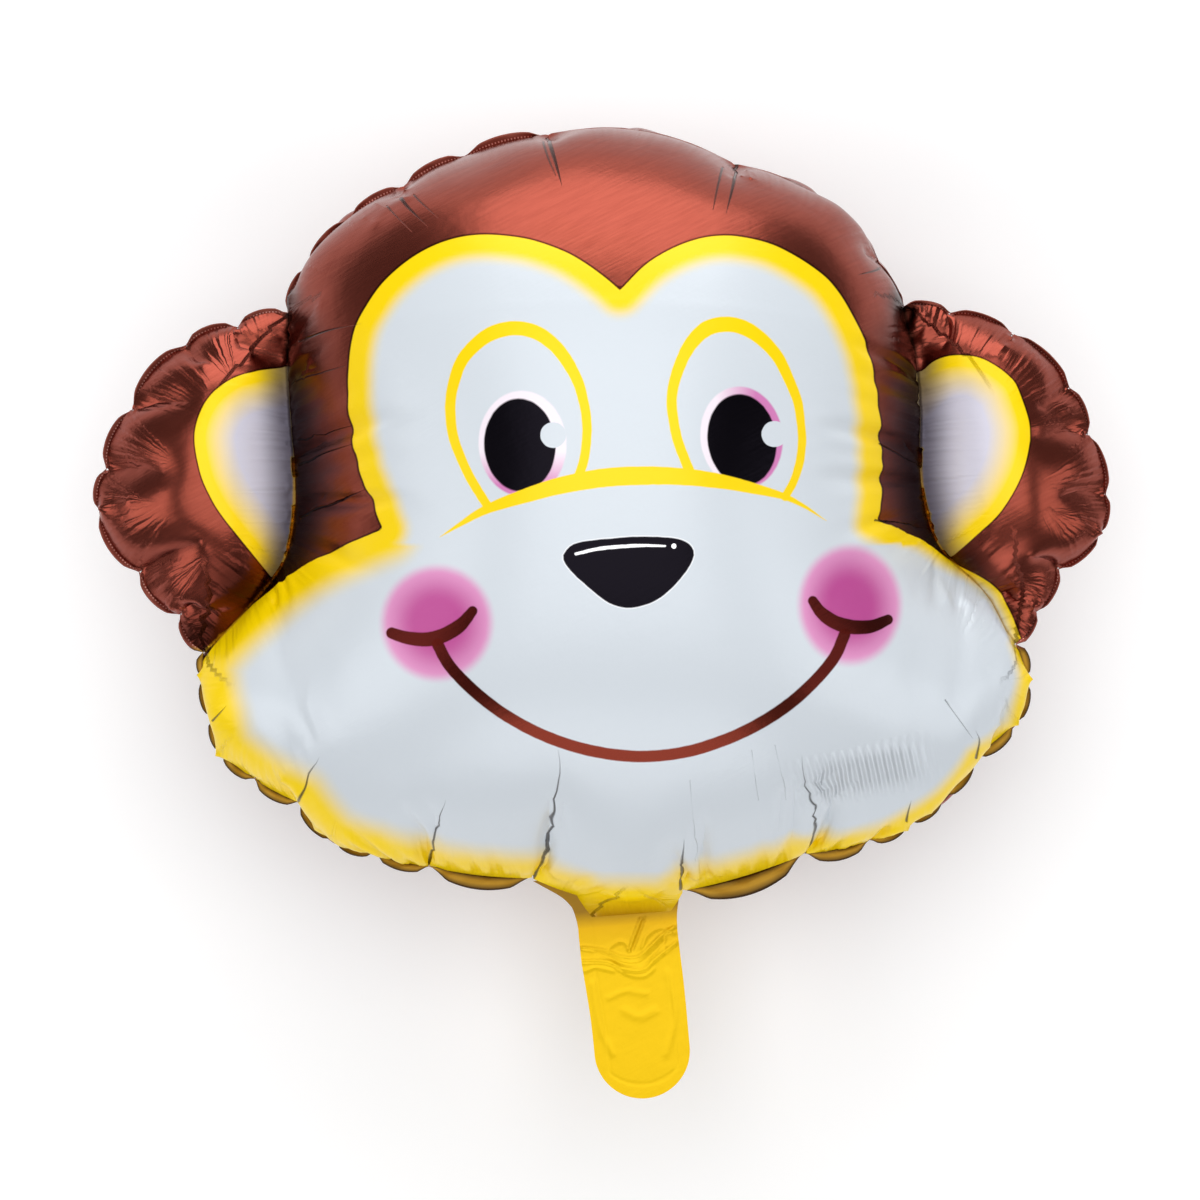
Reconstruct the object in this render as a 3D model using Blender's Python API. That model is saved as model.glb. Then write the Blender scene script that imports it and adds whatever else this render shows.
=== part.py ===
"""A foil balloon in the shape of a monkey's head, blown up and lying on its back with its face up.

Two sheets of metallised film are heat-sealed round one outline: the crown, two ears, the jowls and a flat
filling tail. The seal is pinched in short scallops, because the film can't shrink as the balloon fills, and
a line of seal across each ear's root keeps the ear a chamber of its own. The balloon is built as one closed
solid: the sealed margin and the tail are flat film, and both sheets swell between them like a membrane.

Units are metres, +Z is up, and the origin is at the middle of the footprint, on the ground.
"""

import math

import bmesh
import bpy
import numpy as np
from mathutils import Vector
from mathutils.geometry import delaunay_2d_cdt

# Driving sizes, in metres. The width is from pinch to pinch across the ears, without the sealed margin.
BALLOON_WIDTH = 0.600
BODY_THICKNESS = 0.262
SEAL_MARGIN = 0.0055
FILM_THICKNESS = 0.0006
TAIL_WIDTH = 0.0605
TAIL_LENGTH = 0.126
TAIL_LEAN = math.radians(5.0)

# How deep the ground presses the back flat, so that the balloon lies still
REST_FLATTENING = 0.0045

# How the film swells: the membrane's height is raised to this power, which rounds its shoulder
SWELL_POWER = 0.60

# Half the width of a crease, as a share of the balloon's width
CREASE_WIDTH = 0.011

# Finish
FOIL_BROWN = (0.235, 0.062, 0.042, 1.0)
FOIL_ROUGHNESS = 0.24

# The pinches of the seal, clockwise from the tail's left corner, as shares of the balloon's width from the
# middle between the ears. Each stretch has its own bow, which is how far a scallop stands out as a share of
# its chord.
# A crease runs in from each pinch. Its reach is a share of the balloon's width, and its depth is a share of
# the height that it cuts into.
STRETCHES = [
    {
        "name": "left jowl",
        "bow": 0.10,
        "reach": 0.083,
        "depth": 0.10,
        "pinches": [
            (-0.033, -0.280), (-0.070, -0.258), (-0.172, -0.247), (-0.225, -0.233), (-0.263, -0.221),
            (-0.298, -0.184), (-0.343, -0.161), (-0.373, -0.136), (-0.382, -0.104), (-0.390, -0.064),
        ],
    },
    {
        "name": "left ear",
        "bow": 0.14,
        "reach": 0.080,
        "depth": 0.24,
        "pinches": [
            (-0.392, -0.039), (-0.415, 0.000), (-0.456, 0.042), (-0.494, 0.101), (-0.488, 0.140),
            (-0.462, 0.198), (-0.411, 0.260), (-0.361, 0.277),
        ],
    },
    {
        "name": "crown",
        "bow": 0.05,
        "reach": 0.060,
        "depth": 0.07,
        "pinches": [
            (-0.309, 0.291), (-0.288, 0.338), (-0.248, 0.384), (-0.195, 0.415), (-0.136, 0.445),
            (-0.054, 0.464), (0.035, 0.469), (0.126, 0.435), (0.190, 0.415), (0.239, 0.380), (0.266, 0.342),
        ],
    },
    {
        "name": "right ear",
        "bow": 0.08,
        "reach": 0.080,
        "depth": 0.24,
        "pinches": [
            (0.293, 0.298), (0.341, 0.291), (0.401, 0.270), (0.456, 0.219), (0.473, 0.174), (0.491, 0.116),
            (0.485, 0.080), (0.446, 0.046), (0.423, 0.003),
        ],
    },
    {
        "name": "right jowl",
        "bow": 0.16,
        "reach": 0.083,
        "depth": 0.10,
        "pinches": [
            (0.403, -0.031), (0.411, -0.066), (0.401, -0.108), (0.361, -0.139), (0.331, -0.179),
            (0.298, -0.203), (0.261, -0.221), (0.197, -0.234), (0.071, -0.266),
        ],
    },
]

# The lines of seal across the ears' roots, from the pinch above each ear to the pinch below it
LEFT_EAR_SEAL = [(-0.313, 0.258), (-0.311, 0.200), (-0.306, 0.115), (-0.316, 0.052), (-0.350, 0.006)]
RIGHT_EAR_SEAL = [(0.307, 0.258), (0.313, 0.200), (0.314, 0.130), (0.331, 0.066), (0.376, 0.020)]
EAR_SEAL_LINES = (
    {"above": "crown", "below": "left ear", "between": LEFT_EAR_SEAL},
    {"above": "right ear", "below": "right jowl", "between": RIGHT_EAR_SEAL},
)

# Mesh fineness: how far apart the film's points lie at the seal and in the middle, as shares of the balloon's
# width, and how fast that distance grows on the way in
SEAL_STEP = 0.0079
LARGEST_STEP = 0.034
STEP_GROWTH = 0.20
TAIL_END_STEPS = 14
ARC_FEWEST_STEPS = 3


def turned_left(vector):
    return np.array([-vector[1], vector[0]])


def unit(vector):
    return vector / np.linalg.norm(vector)


def arc(start, end, bow, step):
    """Points of an arc from start up to, but without, end. It stands out to the left by bow of its chord."""
    chord = end - start
    length = np.linalg.norm(chord)
    along = chord / length
    out = turned_left(along)
    half_angle = 2 * math.atan(2 * bow)
    radius = length / 2 / math.sin(half_angle)
    middle = start + chord / 2 - out * radius * math.cos(half_angle)
    steps = max(ARC_FEWEST_STEPS, round(length / step))
    angles = np.linspace(-half_angle, half_angle, steps, endpoint=False)
    return [middle + radius * (math.sin(angle) * along + math.cos(angle) * out) for angle in angles]


def seal_line():
    """The closed line of seal round the swollen film, clockwise, and its pinches."""
    pinches = []
    for stretch in STRETCHES:
        for share in stretch["pinches"]:
            pinches.append({"at": np.array(share) * BALLOON_WIDTH, **stretch})
    points = []
    for pinch, following in zip(pinches, pinches[1:] + pinches[:1]):
        pinch["index"] = len(points)
        points += arc(pinch["at"], following["at"], pinch["bow"], SEAL_STEP * BALLOON_WIDTH)
    points = np.array(points)
    for pinch in pinches:
        before, after = points[pinch["index"] - 1], points[(pinch["index"] + 1) % len(points)]
        pinch["inward"] = -turned_left(unit(after - before))
    return points, pinches


def smooth_line(corners, step):
    """A Catmull-Rom curve through the corners, as points one step apart."""
    padded = [2 * corners[0] - corners[1], *corners, 2 * corners[-1] - corners[-2]]
    dense = []
    for a, b, c, d in zip(padded, padded[1:], padded[2:], padded[3:]):
        for t in np.linspace(0, 1, 12, endpoint=False):
            bend = (2 * a - 5 * b + 4 * c - d) * t**2 + (3 * b - a - 3 * c + d) * t**3
            dense.append(0.5 * (2 * b + (c - a) * t + bend))
    dense = np.array([*dense, corners[-1]])
    return along_line(dense, step)


def along_line(points, step):
    """The same open line, with its points one step apart."""
    reached = np.concatenate([[0], np.cumsum(np.linalg.norm(np.diff(points, axis=0), axis=1))])
    places = np.linspace(0, reached[-1], max(2, round(reached[-1] / step) + 1))
    return np.column_stack([np.interp(places, reached, points[:, axis]) for axis in (0, 1)])


def ear_seals(pinches):
    """The line of seal across each ear's root, between two pinches of the outline."""
    last_of = {pinch["name"]: pinch for pinch in pinches}
    first_of = {pinch["name"]: pinch for pinch in reversed(pinches)}
    lines = []
    for seal in EAR_SEAL_LINES:
        corners = [first_of[seal["above"]]["at"]]
        corners += [np.array(share) * BALLOON_WIDTH for share in seal["between"]]
        corners.append(first_of[seal["below"]]["at"])
        lines.append(smooth_line(corners, SEAL_STEP * BALLOON_WIDTH))
    return lines


def margin_line(seal):
    """The outer edge of the sealed margin. Points that would crowd a pinch are left out."""
    before, after = np.roll(seal, 1, axis=0), np.roll(seal, -1, axis=0)
    edge = []
    for point, previous, following in zip(seal, before, after):
        outer = point + turned_left(unit(following - previous)) * SEAL_MARGIN
        if np.linalg.norm(seal - outer, axis=1).min() > 0.93 * SEAL_MARGIN:
            edge.append(outer)
    return np.array(edge)


def tail_line(pinches):
    """The outline of the filling tail: two straight sides from the neck and a round end."""
    left, right = pinches[0]["at"], pinches[-1]["at"]
    neck = (left + right) / 2
    down = np.array([math.sin(TAIL_LEAN), -math.cos(TAIL_LEAN)])
    across = turned_left(down)
    radius = TAIL_WIDTH / 2
    end_centre = neck + down * (TAIL_LENGTH - radius)
    line = [neck + across * radius]
    for angle in np.linspace(0, math.pi, TAIL_END_STEPS):
        line.append(end_centre + radius * (math.cos(angle) * across + math.sin(angle) * down))
    line.append(neck - across * radius)
    return np.array(line)


def inside(points, polygon):
    """Which points lie inside a closed polygon, by counting the sides that a ray to +X crosses."""
    within = np.zeros(len(points), bool)
    for start, end in zip(polygon, np.roll(polygon, -1, axis=0)):
        spans = (start[1] > points[:, 1]) != (end[1] > points[:, 1])
        rise = (points[:, 1] - start[1]) / (end[1] - start[1]) if end[1] != start[1] else 0
        within ^= spans & (points[:, 0] < start[0] + rise * (end[0] - start[0]))
    return within


def film_points(seal, pinches, ear_lines):
    """Points of the swollen film, in rings along the lines of seal that spread out towards the middle."""
    lines = np.vstack([seal, *ear_lines])
    closed_seal = np.vstack([seal, seal[:1]])
    accepted = np.empty((0, 2))
    first_step = SEAL_STEP * BALLOON_WIDTH
    depth = 0.87 * first_step
    while True:
        step = min(first_step + STEP_GROWTH * depth, LARGEST_STEP * BALLOON_WIDTH)
        creased = [pinch for pinch in pinches if depth < pinch["reach"] * BALLOON_WIDTH]
        found = [pinch["at"] + pinch["inward"] * depth for pinch in creased]
        for line in (closed_seal, *ear_lines):
            places = along_line(line, step)
            sides = np.gradient(places, axis=0)
            sides /= np.linalg.norm(sides, axis=1)[:, None]
            normals = np.column_stack([-sides[:, 1], sides[:, 0]])
            found += [*(places - normals * depth), *(places + normals * depth)]
        found = np.array(found)
        found = found[inside(found, seal)]
        clearance = np.linalg.norm(found[:, None] - lines, axis=2).min(axis=1)
        found = found[clearance > 0.95 * depth]
        if not len(found):
            return accepted
        for place in found:
            if not len(accepted) or np.linalg.norm(accepted - place, axis=1).min() > 0.8 * step:
                accepted = np.vstack([accepted, place])
        depth += 0.87 * step


def flat_film(seal, pinches, ear_lines):
    """The film before it is lifted: its points, its triangles, and which points are free to swell."""
    loops = [seal, margin_line(seal), tail_line(pinches)]
    points = []
    edges = []
    faces = []
    for loop in loops:
        first = len(points)
        points += [Vector(place) for place in loop]
        faces.append(list(range(len(points) - 1, first - 1, -1)))
    for line in ear_lines:
        first = len(points)
        points += [Vector(place) for place in line]
        edges += [(index, index + 1) for index in range(first, len(points) - 1)]
    sealed_inputs = len(points)
    points += [Vector(place) for place in film_points(seal, pinches, ear_lines)]
    found = delaunay_2d_cdt(points, edges, faces, 1, 1e-6)
    places, triangles, sources, inside_of = found[0], found[2], found[3], found[5]
    free = np.array([all(source >= sealed_inputs for source in came_from) for came_from in sources])
    for triangle, loops_round_it in zip(triangles, inside_of):
        if 0 not in loops_round_it:
            free[list(triangle)] = False
    return np.array([tuple(place) for place in places]), np.array([tuple(face) for face in triangles]), free


def membrane(places, triangles, free):
    """The shape that an even pressure gives a membrane over the free points, as shares of its height."""
    stiffness = np.zeros((len(places), len(places)))
    load = np.zeros(len(places))
    for triangle in triangles:
        corners = places[triangle]
        sides = np.roll(corners, -1, axis=0) - np.roll(corners, -2, axis=0)
        area = abs(sides[0, 0] * sides[1, 1] - sides[0, 1] * sides[1, 0]) / 2
        if area > 0:
            stiffness[np.ix_(triangle, triangle)] += sides @ sides.T / (4 * area)
            load[triangle] += area / 3
    height = np.zeros(len(places))
    height[free] = np.linalg.solve(stiffness[np.ix_(free, free)], load[free])
    return height / height.max()


def crease_share(places, pinches):
    """What the creases that run in from the pinches leave of the film's height at each point."""
    share = np.ones(len(places))
    for pinch in pinches:
        offset = places - pinch["at"]
        inwards = offset @ pinch["inward"] / (pinch["reach"] * BALLOON_WIDTH)
        sideways = offset @ turned_left(pinch["inward"]) / (CREASE_WIDTH * BALLOON_WIDTH)
        fade = np.where(inwards > -0.1, np.maximum(1 - np.abs(inwards), 0) ** 1.5, 0)
        share -= pinch["depth"] * fade * np.exp(-(sideways**2))
    return share


def closed_solid(name, places, triangles, front, back):
    """One closed mesh from two sheets over the same triangles and a wall round their common edge."""
    mesh = bpy.data.meshes.new(name)
    work = bmesh.new()
    upper = [work.verts.new((x, y, z)) for (x, y), z in zip(places, front)]
    lower = [work.verts.new((x, y, z)) for (x, y), z in zip(places, back)]
    for a, b, c in triangles:
        work.faces.new((upper[a], upper[b], upper[c]))
        work.faces.new((lower[c], lower[b], lower[a]))
    work.edges.ensure_lookup_table()
    level = {vertex: index for index, vertex in enumerate(upper)}
    rim = [edge for edge in work.edges if edge.is_boundary and edge.verts[0] in level]
    for edge in rim:
        a, b = (level[vertex] for vertex in edge.verts)
        work.faces.new((upper[a], lower[a], lower[b], upper[b]))
    bmesh.ops.recalc_face_normals(work, faces=work.faces)
    work.to_mesh(mesh)
    work.free()
    return mesh


def foil_material():
    material = bpy.data.materials.new("brown_metallised_film")
    material.use_nodes = True
    shader = material.node_tree.nodes["Principled BSDF"]
    shader.inputs["Base Color"].default_value = FOIL_BROWN
    shader.inputs["Metallic"].default_value = 1.0
    shader.inputs["Roughness"].default_value = FOIL_ROUGHNESS
    return material


def foil_balloon():
    seal, pinches = seal_line()
    ear_lines = ear_seals(pinches)
    places, triangles, free = flat_film(seal, pinches, ear_lines)
    swell = membrane(places, triangles, free) ** SWELL_POWER * crease_share(places, pinches)
    half_body = (BODY_THICKNESS - FILM_THICKNESS) / 2
    front = FILM_THICKNESS / 2 + swell * half_body
    lowest = REST_FLATTENING - FILM_THICKNESS / 2 - half_body * swell.max()
    back = np.maximum(-front, lowest)
    footprint_middle = (places.min(axis=0) + places.max(axis=0)) / 2
    mesh = closed_solid("foil_balloon", places - footprint_middle, triangles, front - lowest, back - lowest)
    mesh.shade_smooth()
    mesh.materials.append(foil_material())
    return bpy.data.objects.new("foil_balloon", mesh)


def main():
    for leftover in list(bpy.data.objects):
        bpy.data.objects.remove(leftover)
    collection = bpy.data.collections.new("monkey_foil_balloon")
    bpy.context.scene.collection.children.link(collection)
    collection.objects.link(foil_balloon())


main()
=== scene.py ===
"""A monkey's-head foil balloon, blown up and lying on its back on a pale floor.

The film is swollen here in numpy from its flat cut: it can't stretch, so it wrinkles along the seal as the real
film does. The printed face is laid on it by measured outlines, and the sealed margin follows the seal.
All sizes are in metres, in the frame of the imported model.
"""
import math

import bpy
import numpy as np
from bpy.props import FloatProperty, FloatVectorProperty, IntProperty, PointerProperty
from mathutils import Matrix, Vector
from mathutils.geometry import delaunay_2d_cdt


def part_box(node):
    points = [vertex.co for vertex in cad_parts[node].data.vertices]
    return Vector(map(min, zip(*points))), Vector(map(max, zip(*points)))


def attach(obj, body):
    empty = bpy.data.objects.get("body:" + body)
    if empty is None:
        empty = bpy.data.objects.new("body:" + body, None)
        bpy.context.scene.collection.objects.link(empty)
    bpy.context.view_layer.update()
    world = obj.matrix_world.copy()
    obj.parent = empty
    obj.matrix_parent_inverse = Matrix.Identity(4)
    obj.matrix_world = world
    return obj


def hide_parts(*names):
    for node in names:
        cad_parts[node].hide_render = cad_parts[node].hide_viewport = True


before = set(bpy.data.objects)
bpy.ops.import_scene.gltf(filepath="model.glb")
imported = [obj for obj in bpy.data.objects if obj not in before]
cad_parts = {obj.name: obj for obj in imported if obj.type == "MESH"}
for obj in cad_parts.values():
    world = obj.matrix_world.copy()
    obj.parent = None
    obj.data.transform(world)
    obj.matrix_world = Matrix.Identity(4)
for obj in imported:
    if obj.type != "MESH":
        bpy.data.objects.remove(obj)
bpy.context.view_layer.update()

SOLID = "foil_balloon"

bl_info = {
    "name": "Monkey foil balloon",
    "version": (1, 0, 0),
    "blender": (4, 5, 0),
    "location": "View3D > Sidebar > Balloon",
    "description": "Blows up a monkey's-head foil balloon, prints its face and sets it on a pale floor",
    "category": "Object",
}

# The pinches of the solid's seal, clockwise from the tail's left corner, as shares of the balloon's width from the
# middle between the ears
LEFT_JOWL = [
    (-0.070, -0.258), (-0.172, -0.247), (-0.225, -0.233), (-0.263, -0.221), (-0.298, -0.184), (-0.343, -0.161),
    (-0.373, -0.136), (-0.382, -0.104), (-0.390, -0.064),
]
LEFT_EAR = [
    (-0.392, -0.039), (-0.415, 0.000), (-0.456, 0.042), (-0.494, 0.101), (-0.488, 0.140),
    (-0.462, 0.198), (-0.411, 0.260), (-0.361, 0.277),
]
LEFT_CROWN = [(-0.309, 0.291), (-0.288, 0.338), (-0.248, 0.384), (-0.195, 0.415), (-0.136, 0.445)]
RIGHT_CROWN = [(-0.054, 0.464), (0.035, 0.469), (0.126, 0.435), (0.190, 0.415), (0.239, 0.380), (0.266, 0.342)]
RIGHT_EAR = [
    (0.293, 0.298), (0.341, 0.291), (0.401, 0.270), (0.456, 0.219), (0.473, 0.174), (0.491, 0.116),
    (0.485, 0.080), (0.446, 0.046), (0.423, 0.003),
]
RIGHT_JOWL = [
    (0.403, -0.031), (0.411, -0.066), (0.401, -0.108), (0.361, -0.139), (0.331, -0.179),
    (0.298, -0.203), (0.261, -0.221), (0.197, -0.234), (0.075, -0.272),
]
NECK = [(0.066, -0.2955), (-0.0119, -0.3014), (-0.027, -0.280)]

# Each stretch of the seal: its pinches, how far the film's scallops and the margin's stand out as shares of their
# chord, how far the film's pinches stand out from the solid's in metres, how steeply the margin hangs in degrees,
# and how much of the spare film is folded in at the pinches, rather than pleated finely between them
STRETCHES = [
    (NECK[1:], 0.02, 0.16, 0.0, 10.0, 0.0),
    (LEFT_JOWL, 0.03, 0.13, 0.0030, 14.0, 0.5),
    (LEFT_EAR, 0.10, 0.13, 0.0030, 25.0, 0.45),
    (LEFT_CROWN, 0.03, 0.11, 0.0040, 20.0, 0.1),
    (RIGHT_CROWN, 0.04, 0.05, 0.0048, 84.0, 0.1),
    (RIGHT_EAR, 0.08, 0.10, 0.0034, 35.0, 0.45),
    (RIGHT_JOWL, 0.03, 0.15, 0.0030, 14.0, 0.5),
    (NECK[:1], 0.0, 0.0, 0.0, 10.0, 0.0),
]

# The film's deepest creases: the pinch that each starts from, its further points and its depth
LONG_CREASES = [
    (LEFT_JOWL[0], [(-0.056, -0.242), (-0.052, -0.206), (-0.048, -0.186), (-0.044, -0.143)], 1.0),
    (LEFT_JOWL[1], [(-0.168, -0.230), (-0.162, -0.201), (-0.156, -0.180)], 1.0),
    (LEFT_JOWL[4], [(-0.293, -0.166), (-0.280, -0.142)], 1.0),
    (RIGHT_JOWL[3], [(0.370, -0.126), (0.367, -0.115), (0.352, -0.100)], 1.0),
    (RIGHT_JOWL[5], [(0.302, -0.190), (0.303, -0.180)], 0.8),
    (RIGHT_JOWL[7], [(0.206, -0.220), (0.2075, -0.2055), (0.2015, -0.181), (0.196, -0.150)], 1.0),
    (RIGHT_JOWL[8], [(0.078, -0.245), (0.079, -0.225)], 1.0),
    (RIGHT_CROWN[0], [(-0.047, 0.442), (-0.041, 0.421)], 1.2),
    (LEFT_CROWN[3], [(-0.189, 0.394), (-0.174, 0.380)], 1.2),
    (RIGHT_CROWN[2], [(0.124, 0.417), (0.120, 0.393)], 1.2),
    (LEFT_EAR[5], [(-0.447, 0.204), (-0.427, 0.201), (-0.402, 0.196)], 1.4),
    (LEFT_EAR[4], [(-0.470, 0.142), (-0.445, 0.139), (-0.425, 0.134)], 1.4),
    (LEFT_EAR[2], [(-0.440, 0.052), (-0.413, 0.067), (-0.395, 0.076)], 1.4),
    (RIGHT_EAR[4], [(0.455, 0.180), (0.438, 0.172), (0.420, 0.166)], 1.4),
    (RIGHT_EAR[5], [(0.468, 0.120), (0.440, 0.116)], 1.4),
]

# How far the creases at the other pinches of each stretch run in, as a share of the width
SHORT_CREASES = [
    (LEFT_JOWL, 0.014), (LEFT_EAR[1:], 0.040), (RIGHT_EAR[1:], 0.040), (RIGHT_JOWL[1:], 0.014),
    (RIGHT_CROWN[-1:], 0.03),
]

# How deep the other creases are beside the deepest: those at pinches, at the ears' roots and the faint ones
SHORT_DEPTH, ROOT_DEPTH, FAINT_DEPTH = 0.6, 0.7, 0.35

# Creases that run in from the seal across an ear's root, towards the face
ROOT_CREASES = [
    [(-0.311, 0.262), (-0.280, 0.272), (-0.245, 0.280)],
    [(-0.306, 0.145), (-0.285, 0.156), (-0.255, 0.163)],
    [(-0.309, 0.080), (-0.285, 0.098), (-0.250, 0.116)],
    [(0.314, 0.150), (0.300, 0.156), (0.278, 0.168)],
    [(0.318, 0.086), (0.300, 0.084), (0.272, 0.090)],
]

# Faint creases that start away from any seal
FAINT_CREASES = [
    [(0.085, -0.166), (0.091, -0.245)],
    [(0.146, -0.136), (0.152, -0.186)],
    [(0.156, -0.126), (0.169, -0.200)],
    [(0.179, -0.121), (0.189, -0.176)],
    [(0.328, -0.094), (0.352, -0.126)],
    [(-0.274, -0.132), (-0.256, -0.113)],
    [(-0.268, -0.152), (-0.254, -0.128)],
    [(-0.150, -0.200), (-0.144, -0.160)],
    [(-0.036, -0.180), (-0.032, -0.142)],
    [(-0.186, 0.378), (-0.165, 0.362)],
    [(-0.203, 0.372), (-0.184, 0.356)],
    [(-0.206, 0.352), (-0.190, 0.340)],
    [(0.132, 0.412), (0.127, 0.386)],
    [(0.118, 0.420), (0.113, 0.395)],
    [(0.262, 0.345), (0.240, 0.334)],
    [(-0.300, 0.232), (-0.252, 0.228)],
]

# The creases and the finer folds that show as sharp lines in the picture: lines in millimetres and half widths
# Each line is drawn as a bump with painted shade along it
DRAWN_CREASES = [
    ([(-180.2, -111.5), (-174.3, -96.6), (-168.4, -86.0)], 0.7),
    ([(-103.8, -150.6), (-101.4, -138.1), (-97.2, -123.3), (-93.7, -111.5)], 0.8),
    ([(-42.1, -159.5), (-36.2, -147.0), (-30.2, -120.4), (-26.1, -93.7), (-27.3, -81.8)], 1.0),
    ([(-230.6, -64.0), (-223.5, -55.7)], 0.5),
    ([(45.7, -164.2), (46.2, -147.0), (47.4, -134.0)], 0.9),
    ([(119.8, -144.7), (123.3, -132.2), (124.5, -123.3), (120.9, -108.5), (118.0, -96.6), (117.4, -84.8)], 0.8),
    ([(179.1, -123.3), (182.0, -111.5)], 0.6),
    ([(220.0, -86.0), (222.3, -75.9), (220.0, -70.0)], 0.7),
    ([(-33.2, 281.0), (-29.1, 268.0), (-24.9, 252.6)], 1.1),
    ([(78.9, 265.0), (75.9, 250.2), (72.3, 236.0)], 1.0),
    ([(-120.9, 244.3), (-104.3, 228.3)], 0.8),
    ([(163.6, 202.8), (150.6, 199.8)], 0.6),
    ([(-180.2, 160.7), (-162.5, 167.2), (-143.5, 170.8)], 0.6),
    ([(-180.2, 87.2), (-162.5, 94.9), (-147.6, 99.6)], 0.6),
    ([(-180.2, 56.3), (-159.5, 65.2), (-141.1, 72.9)], 0.8),
    ([(163.6, 99.6), (187.9, 85.4)], 0.5),
    ([(161.3, 54.5), (189.7, 50.4)], 0.5),
]
DRAWN_FOLDS = [
    ([(-39.1, -154.2), (-34.4, -138.7)], 0.4),
    ([(-36.2, 278.7), (-32.6, 268.0), (-28.5, 258.5)], 0.5),
    ([(70.0, 263.2), (67.0, 250.2), (64.6, 238.3)], 0.6),
    ([(-112.6, 246.6), (-98.4, 233.6)], 0.4),
    ([(-128.1, 239.5), (-113.8, 225.3)], 0.3),
    ([(51.0, -99.6), (54.5, -147.0)], -0.2),
    ([(87.7, -81.8), (91.3, -111.5)], -0.2),
    ([(101.4, -78.9), (108.5, -111.5)], -0.2),
    ([(202.2, -52.2), (218.2, -74.7)], 0.12),
    ([(-180.2, 102.0), (-150.6, 110.3)], 0.3),
    ([(-182.6, 137.6), (-153.6, 145.9)], 0.3),
]

# Painted shade on the ears' film, darkest in the corners by the jowls and the crown: places and reaches in millimetres
EAR_SHADOWS = [
    ((-219.0, 18.0), 30.0), ((-235.0, -14.0), 22.0), ((-192.0, 188.0), 17.0),
    ((212.0, 28.0), 30.0), ((233.0, -4.0), 20.0), ((180.0, 186.0), 17.0),
]

# The seal across each ear's root, from the crown's end to the jowl's
LEFT_EAR_SEAL = [(-0.313, 0.258), (-0.311, 0.200), (-0.306, 0.115), (-0.316, 0.052), (-0.350, 0.006)]
RIGHT_EAR_SEAL = [(0.307, 0.258), (0.313, 0.200), (0.314, 0.130), (0.331, 0.066), (0.376, 0.020)]

# How far the tail leans from the face's upright
TAIL_LEAN = math.radians(5.0)

# The print's outlines, in millimetres on the face, from the middle between the ears
FACE_PATCH = [
    (-236.6, -27.3), (-227.1, -14.8), (-208.7, 3.6), (-180.2, 26.1), (-147.6, 42.1), (-131.0, 49.2),
    (-138.9, 69.6), (-144.0, 82.0), (-147.2, 94.7), (-149.5, 107.0), (-150.9, 119.5), (-151.6, 132.0),
    (-151.3, 144.7), (-149.9, 157.7), (-146.5, 170.9), (-140.1, 182.7), (-132.2, 193.9), (-122.4, 203.5),
    (-111.3, 211.7), (-99.0, 218.0), (-85.7, 222.1), (-71.9, 223.6), (-58.3, 222.9), (-44.9, 220.9),
    (-32.0, 217.0), (-19.7, 211.8), (-8.3, 204.8), (2.4, 196.8), (9.5, 190.6),
    (23.3, 204.6), (34.6, 212.3), (47.0, 218.2), (60.2, 222.0), (73.8, 223.0), (87.3, 221.2),
    (100.2, 217.6), (112.0, 211.8), (122.8, 205.0), (132.6, 197.2), (140.4, 187.5), (146.5, 177.2),
    (151.7, 166.7), (155.9, 156.1), (158.8, 145.0), (161.0, 134.0), (162.4, 122.9), (163.4, 111.2),
    (164.0, 97.0), (164.4, 83.0), (164.2, 69.3), (162.5, 54.5),
    (173.7, 49.2), (189.7, 42.1), (207.5, 29.1), (228.9, 17.8), (238.9, 3.6), (249.0, -19.6),
]
FACE_CORNERS = (0, 5, 28, 50, 56)
LEFT_INNER_EAR = [
    (-160.0, 150.0), (-205.1, 142.9), (-220.6, 138.1), (-234.8, 125.7), (-242.5, 106.1), (-239.5, 83.6),
    (-233.6, 68.8), (-225.9, 56.3), (-208.1, 33.8), (-198.0, 21.3), (-160.0, 0.0),
]
RIGHT_INNER_EAR = [
    (160.0, 118.0), (186.2, 142.3), (196.2, 148.8), (207.5, 151.8), (220.0, 151.2), (228.9, 147.6),
    (239.5, 139.9), (245.5, 131.6), (252.0, 109.1), (248.4, 83.6), (236.0, 60.5), (221.1, 45.7),
    (207.5, 33.8), (160.0, 10.0),
]
NOSE = [
    (-24.9, 32.6), (-20.8, 38.5), (-14.2, 41.5), (3.6, 43.6), (21.3, 44.8), (40.9, 43.9), (49.8, 40.9),
    (53.4, 35.6), (52.2, 30.2), (48.0, 23.1), (40.3, 14.2), (30.2, 6.5), (16.0, 2.4), (3.0, 5.3),
    (-9.5, 14.8), (-20.8, 25.5),
]

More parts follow.
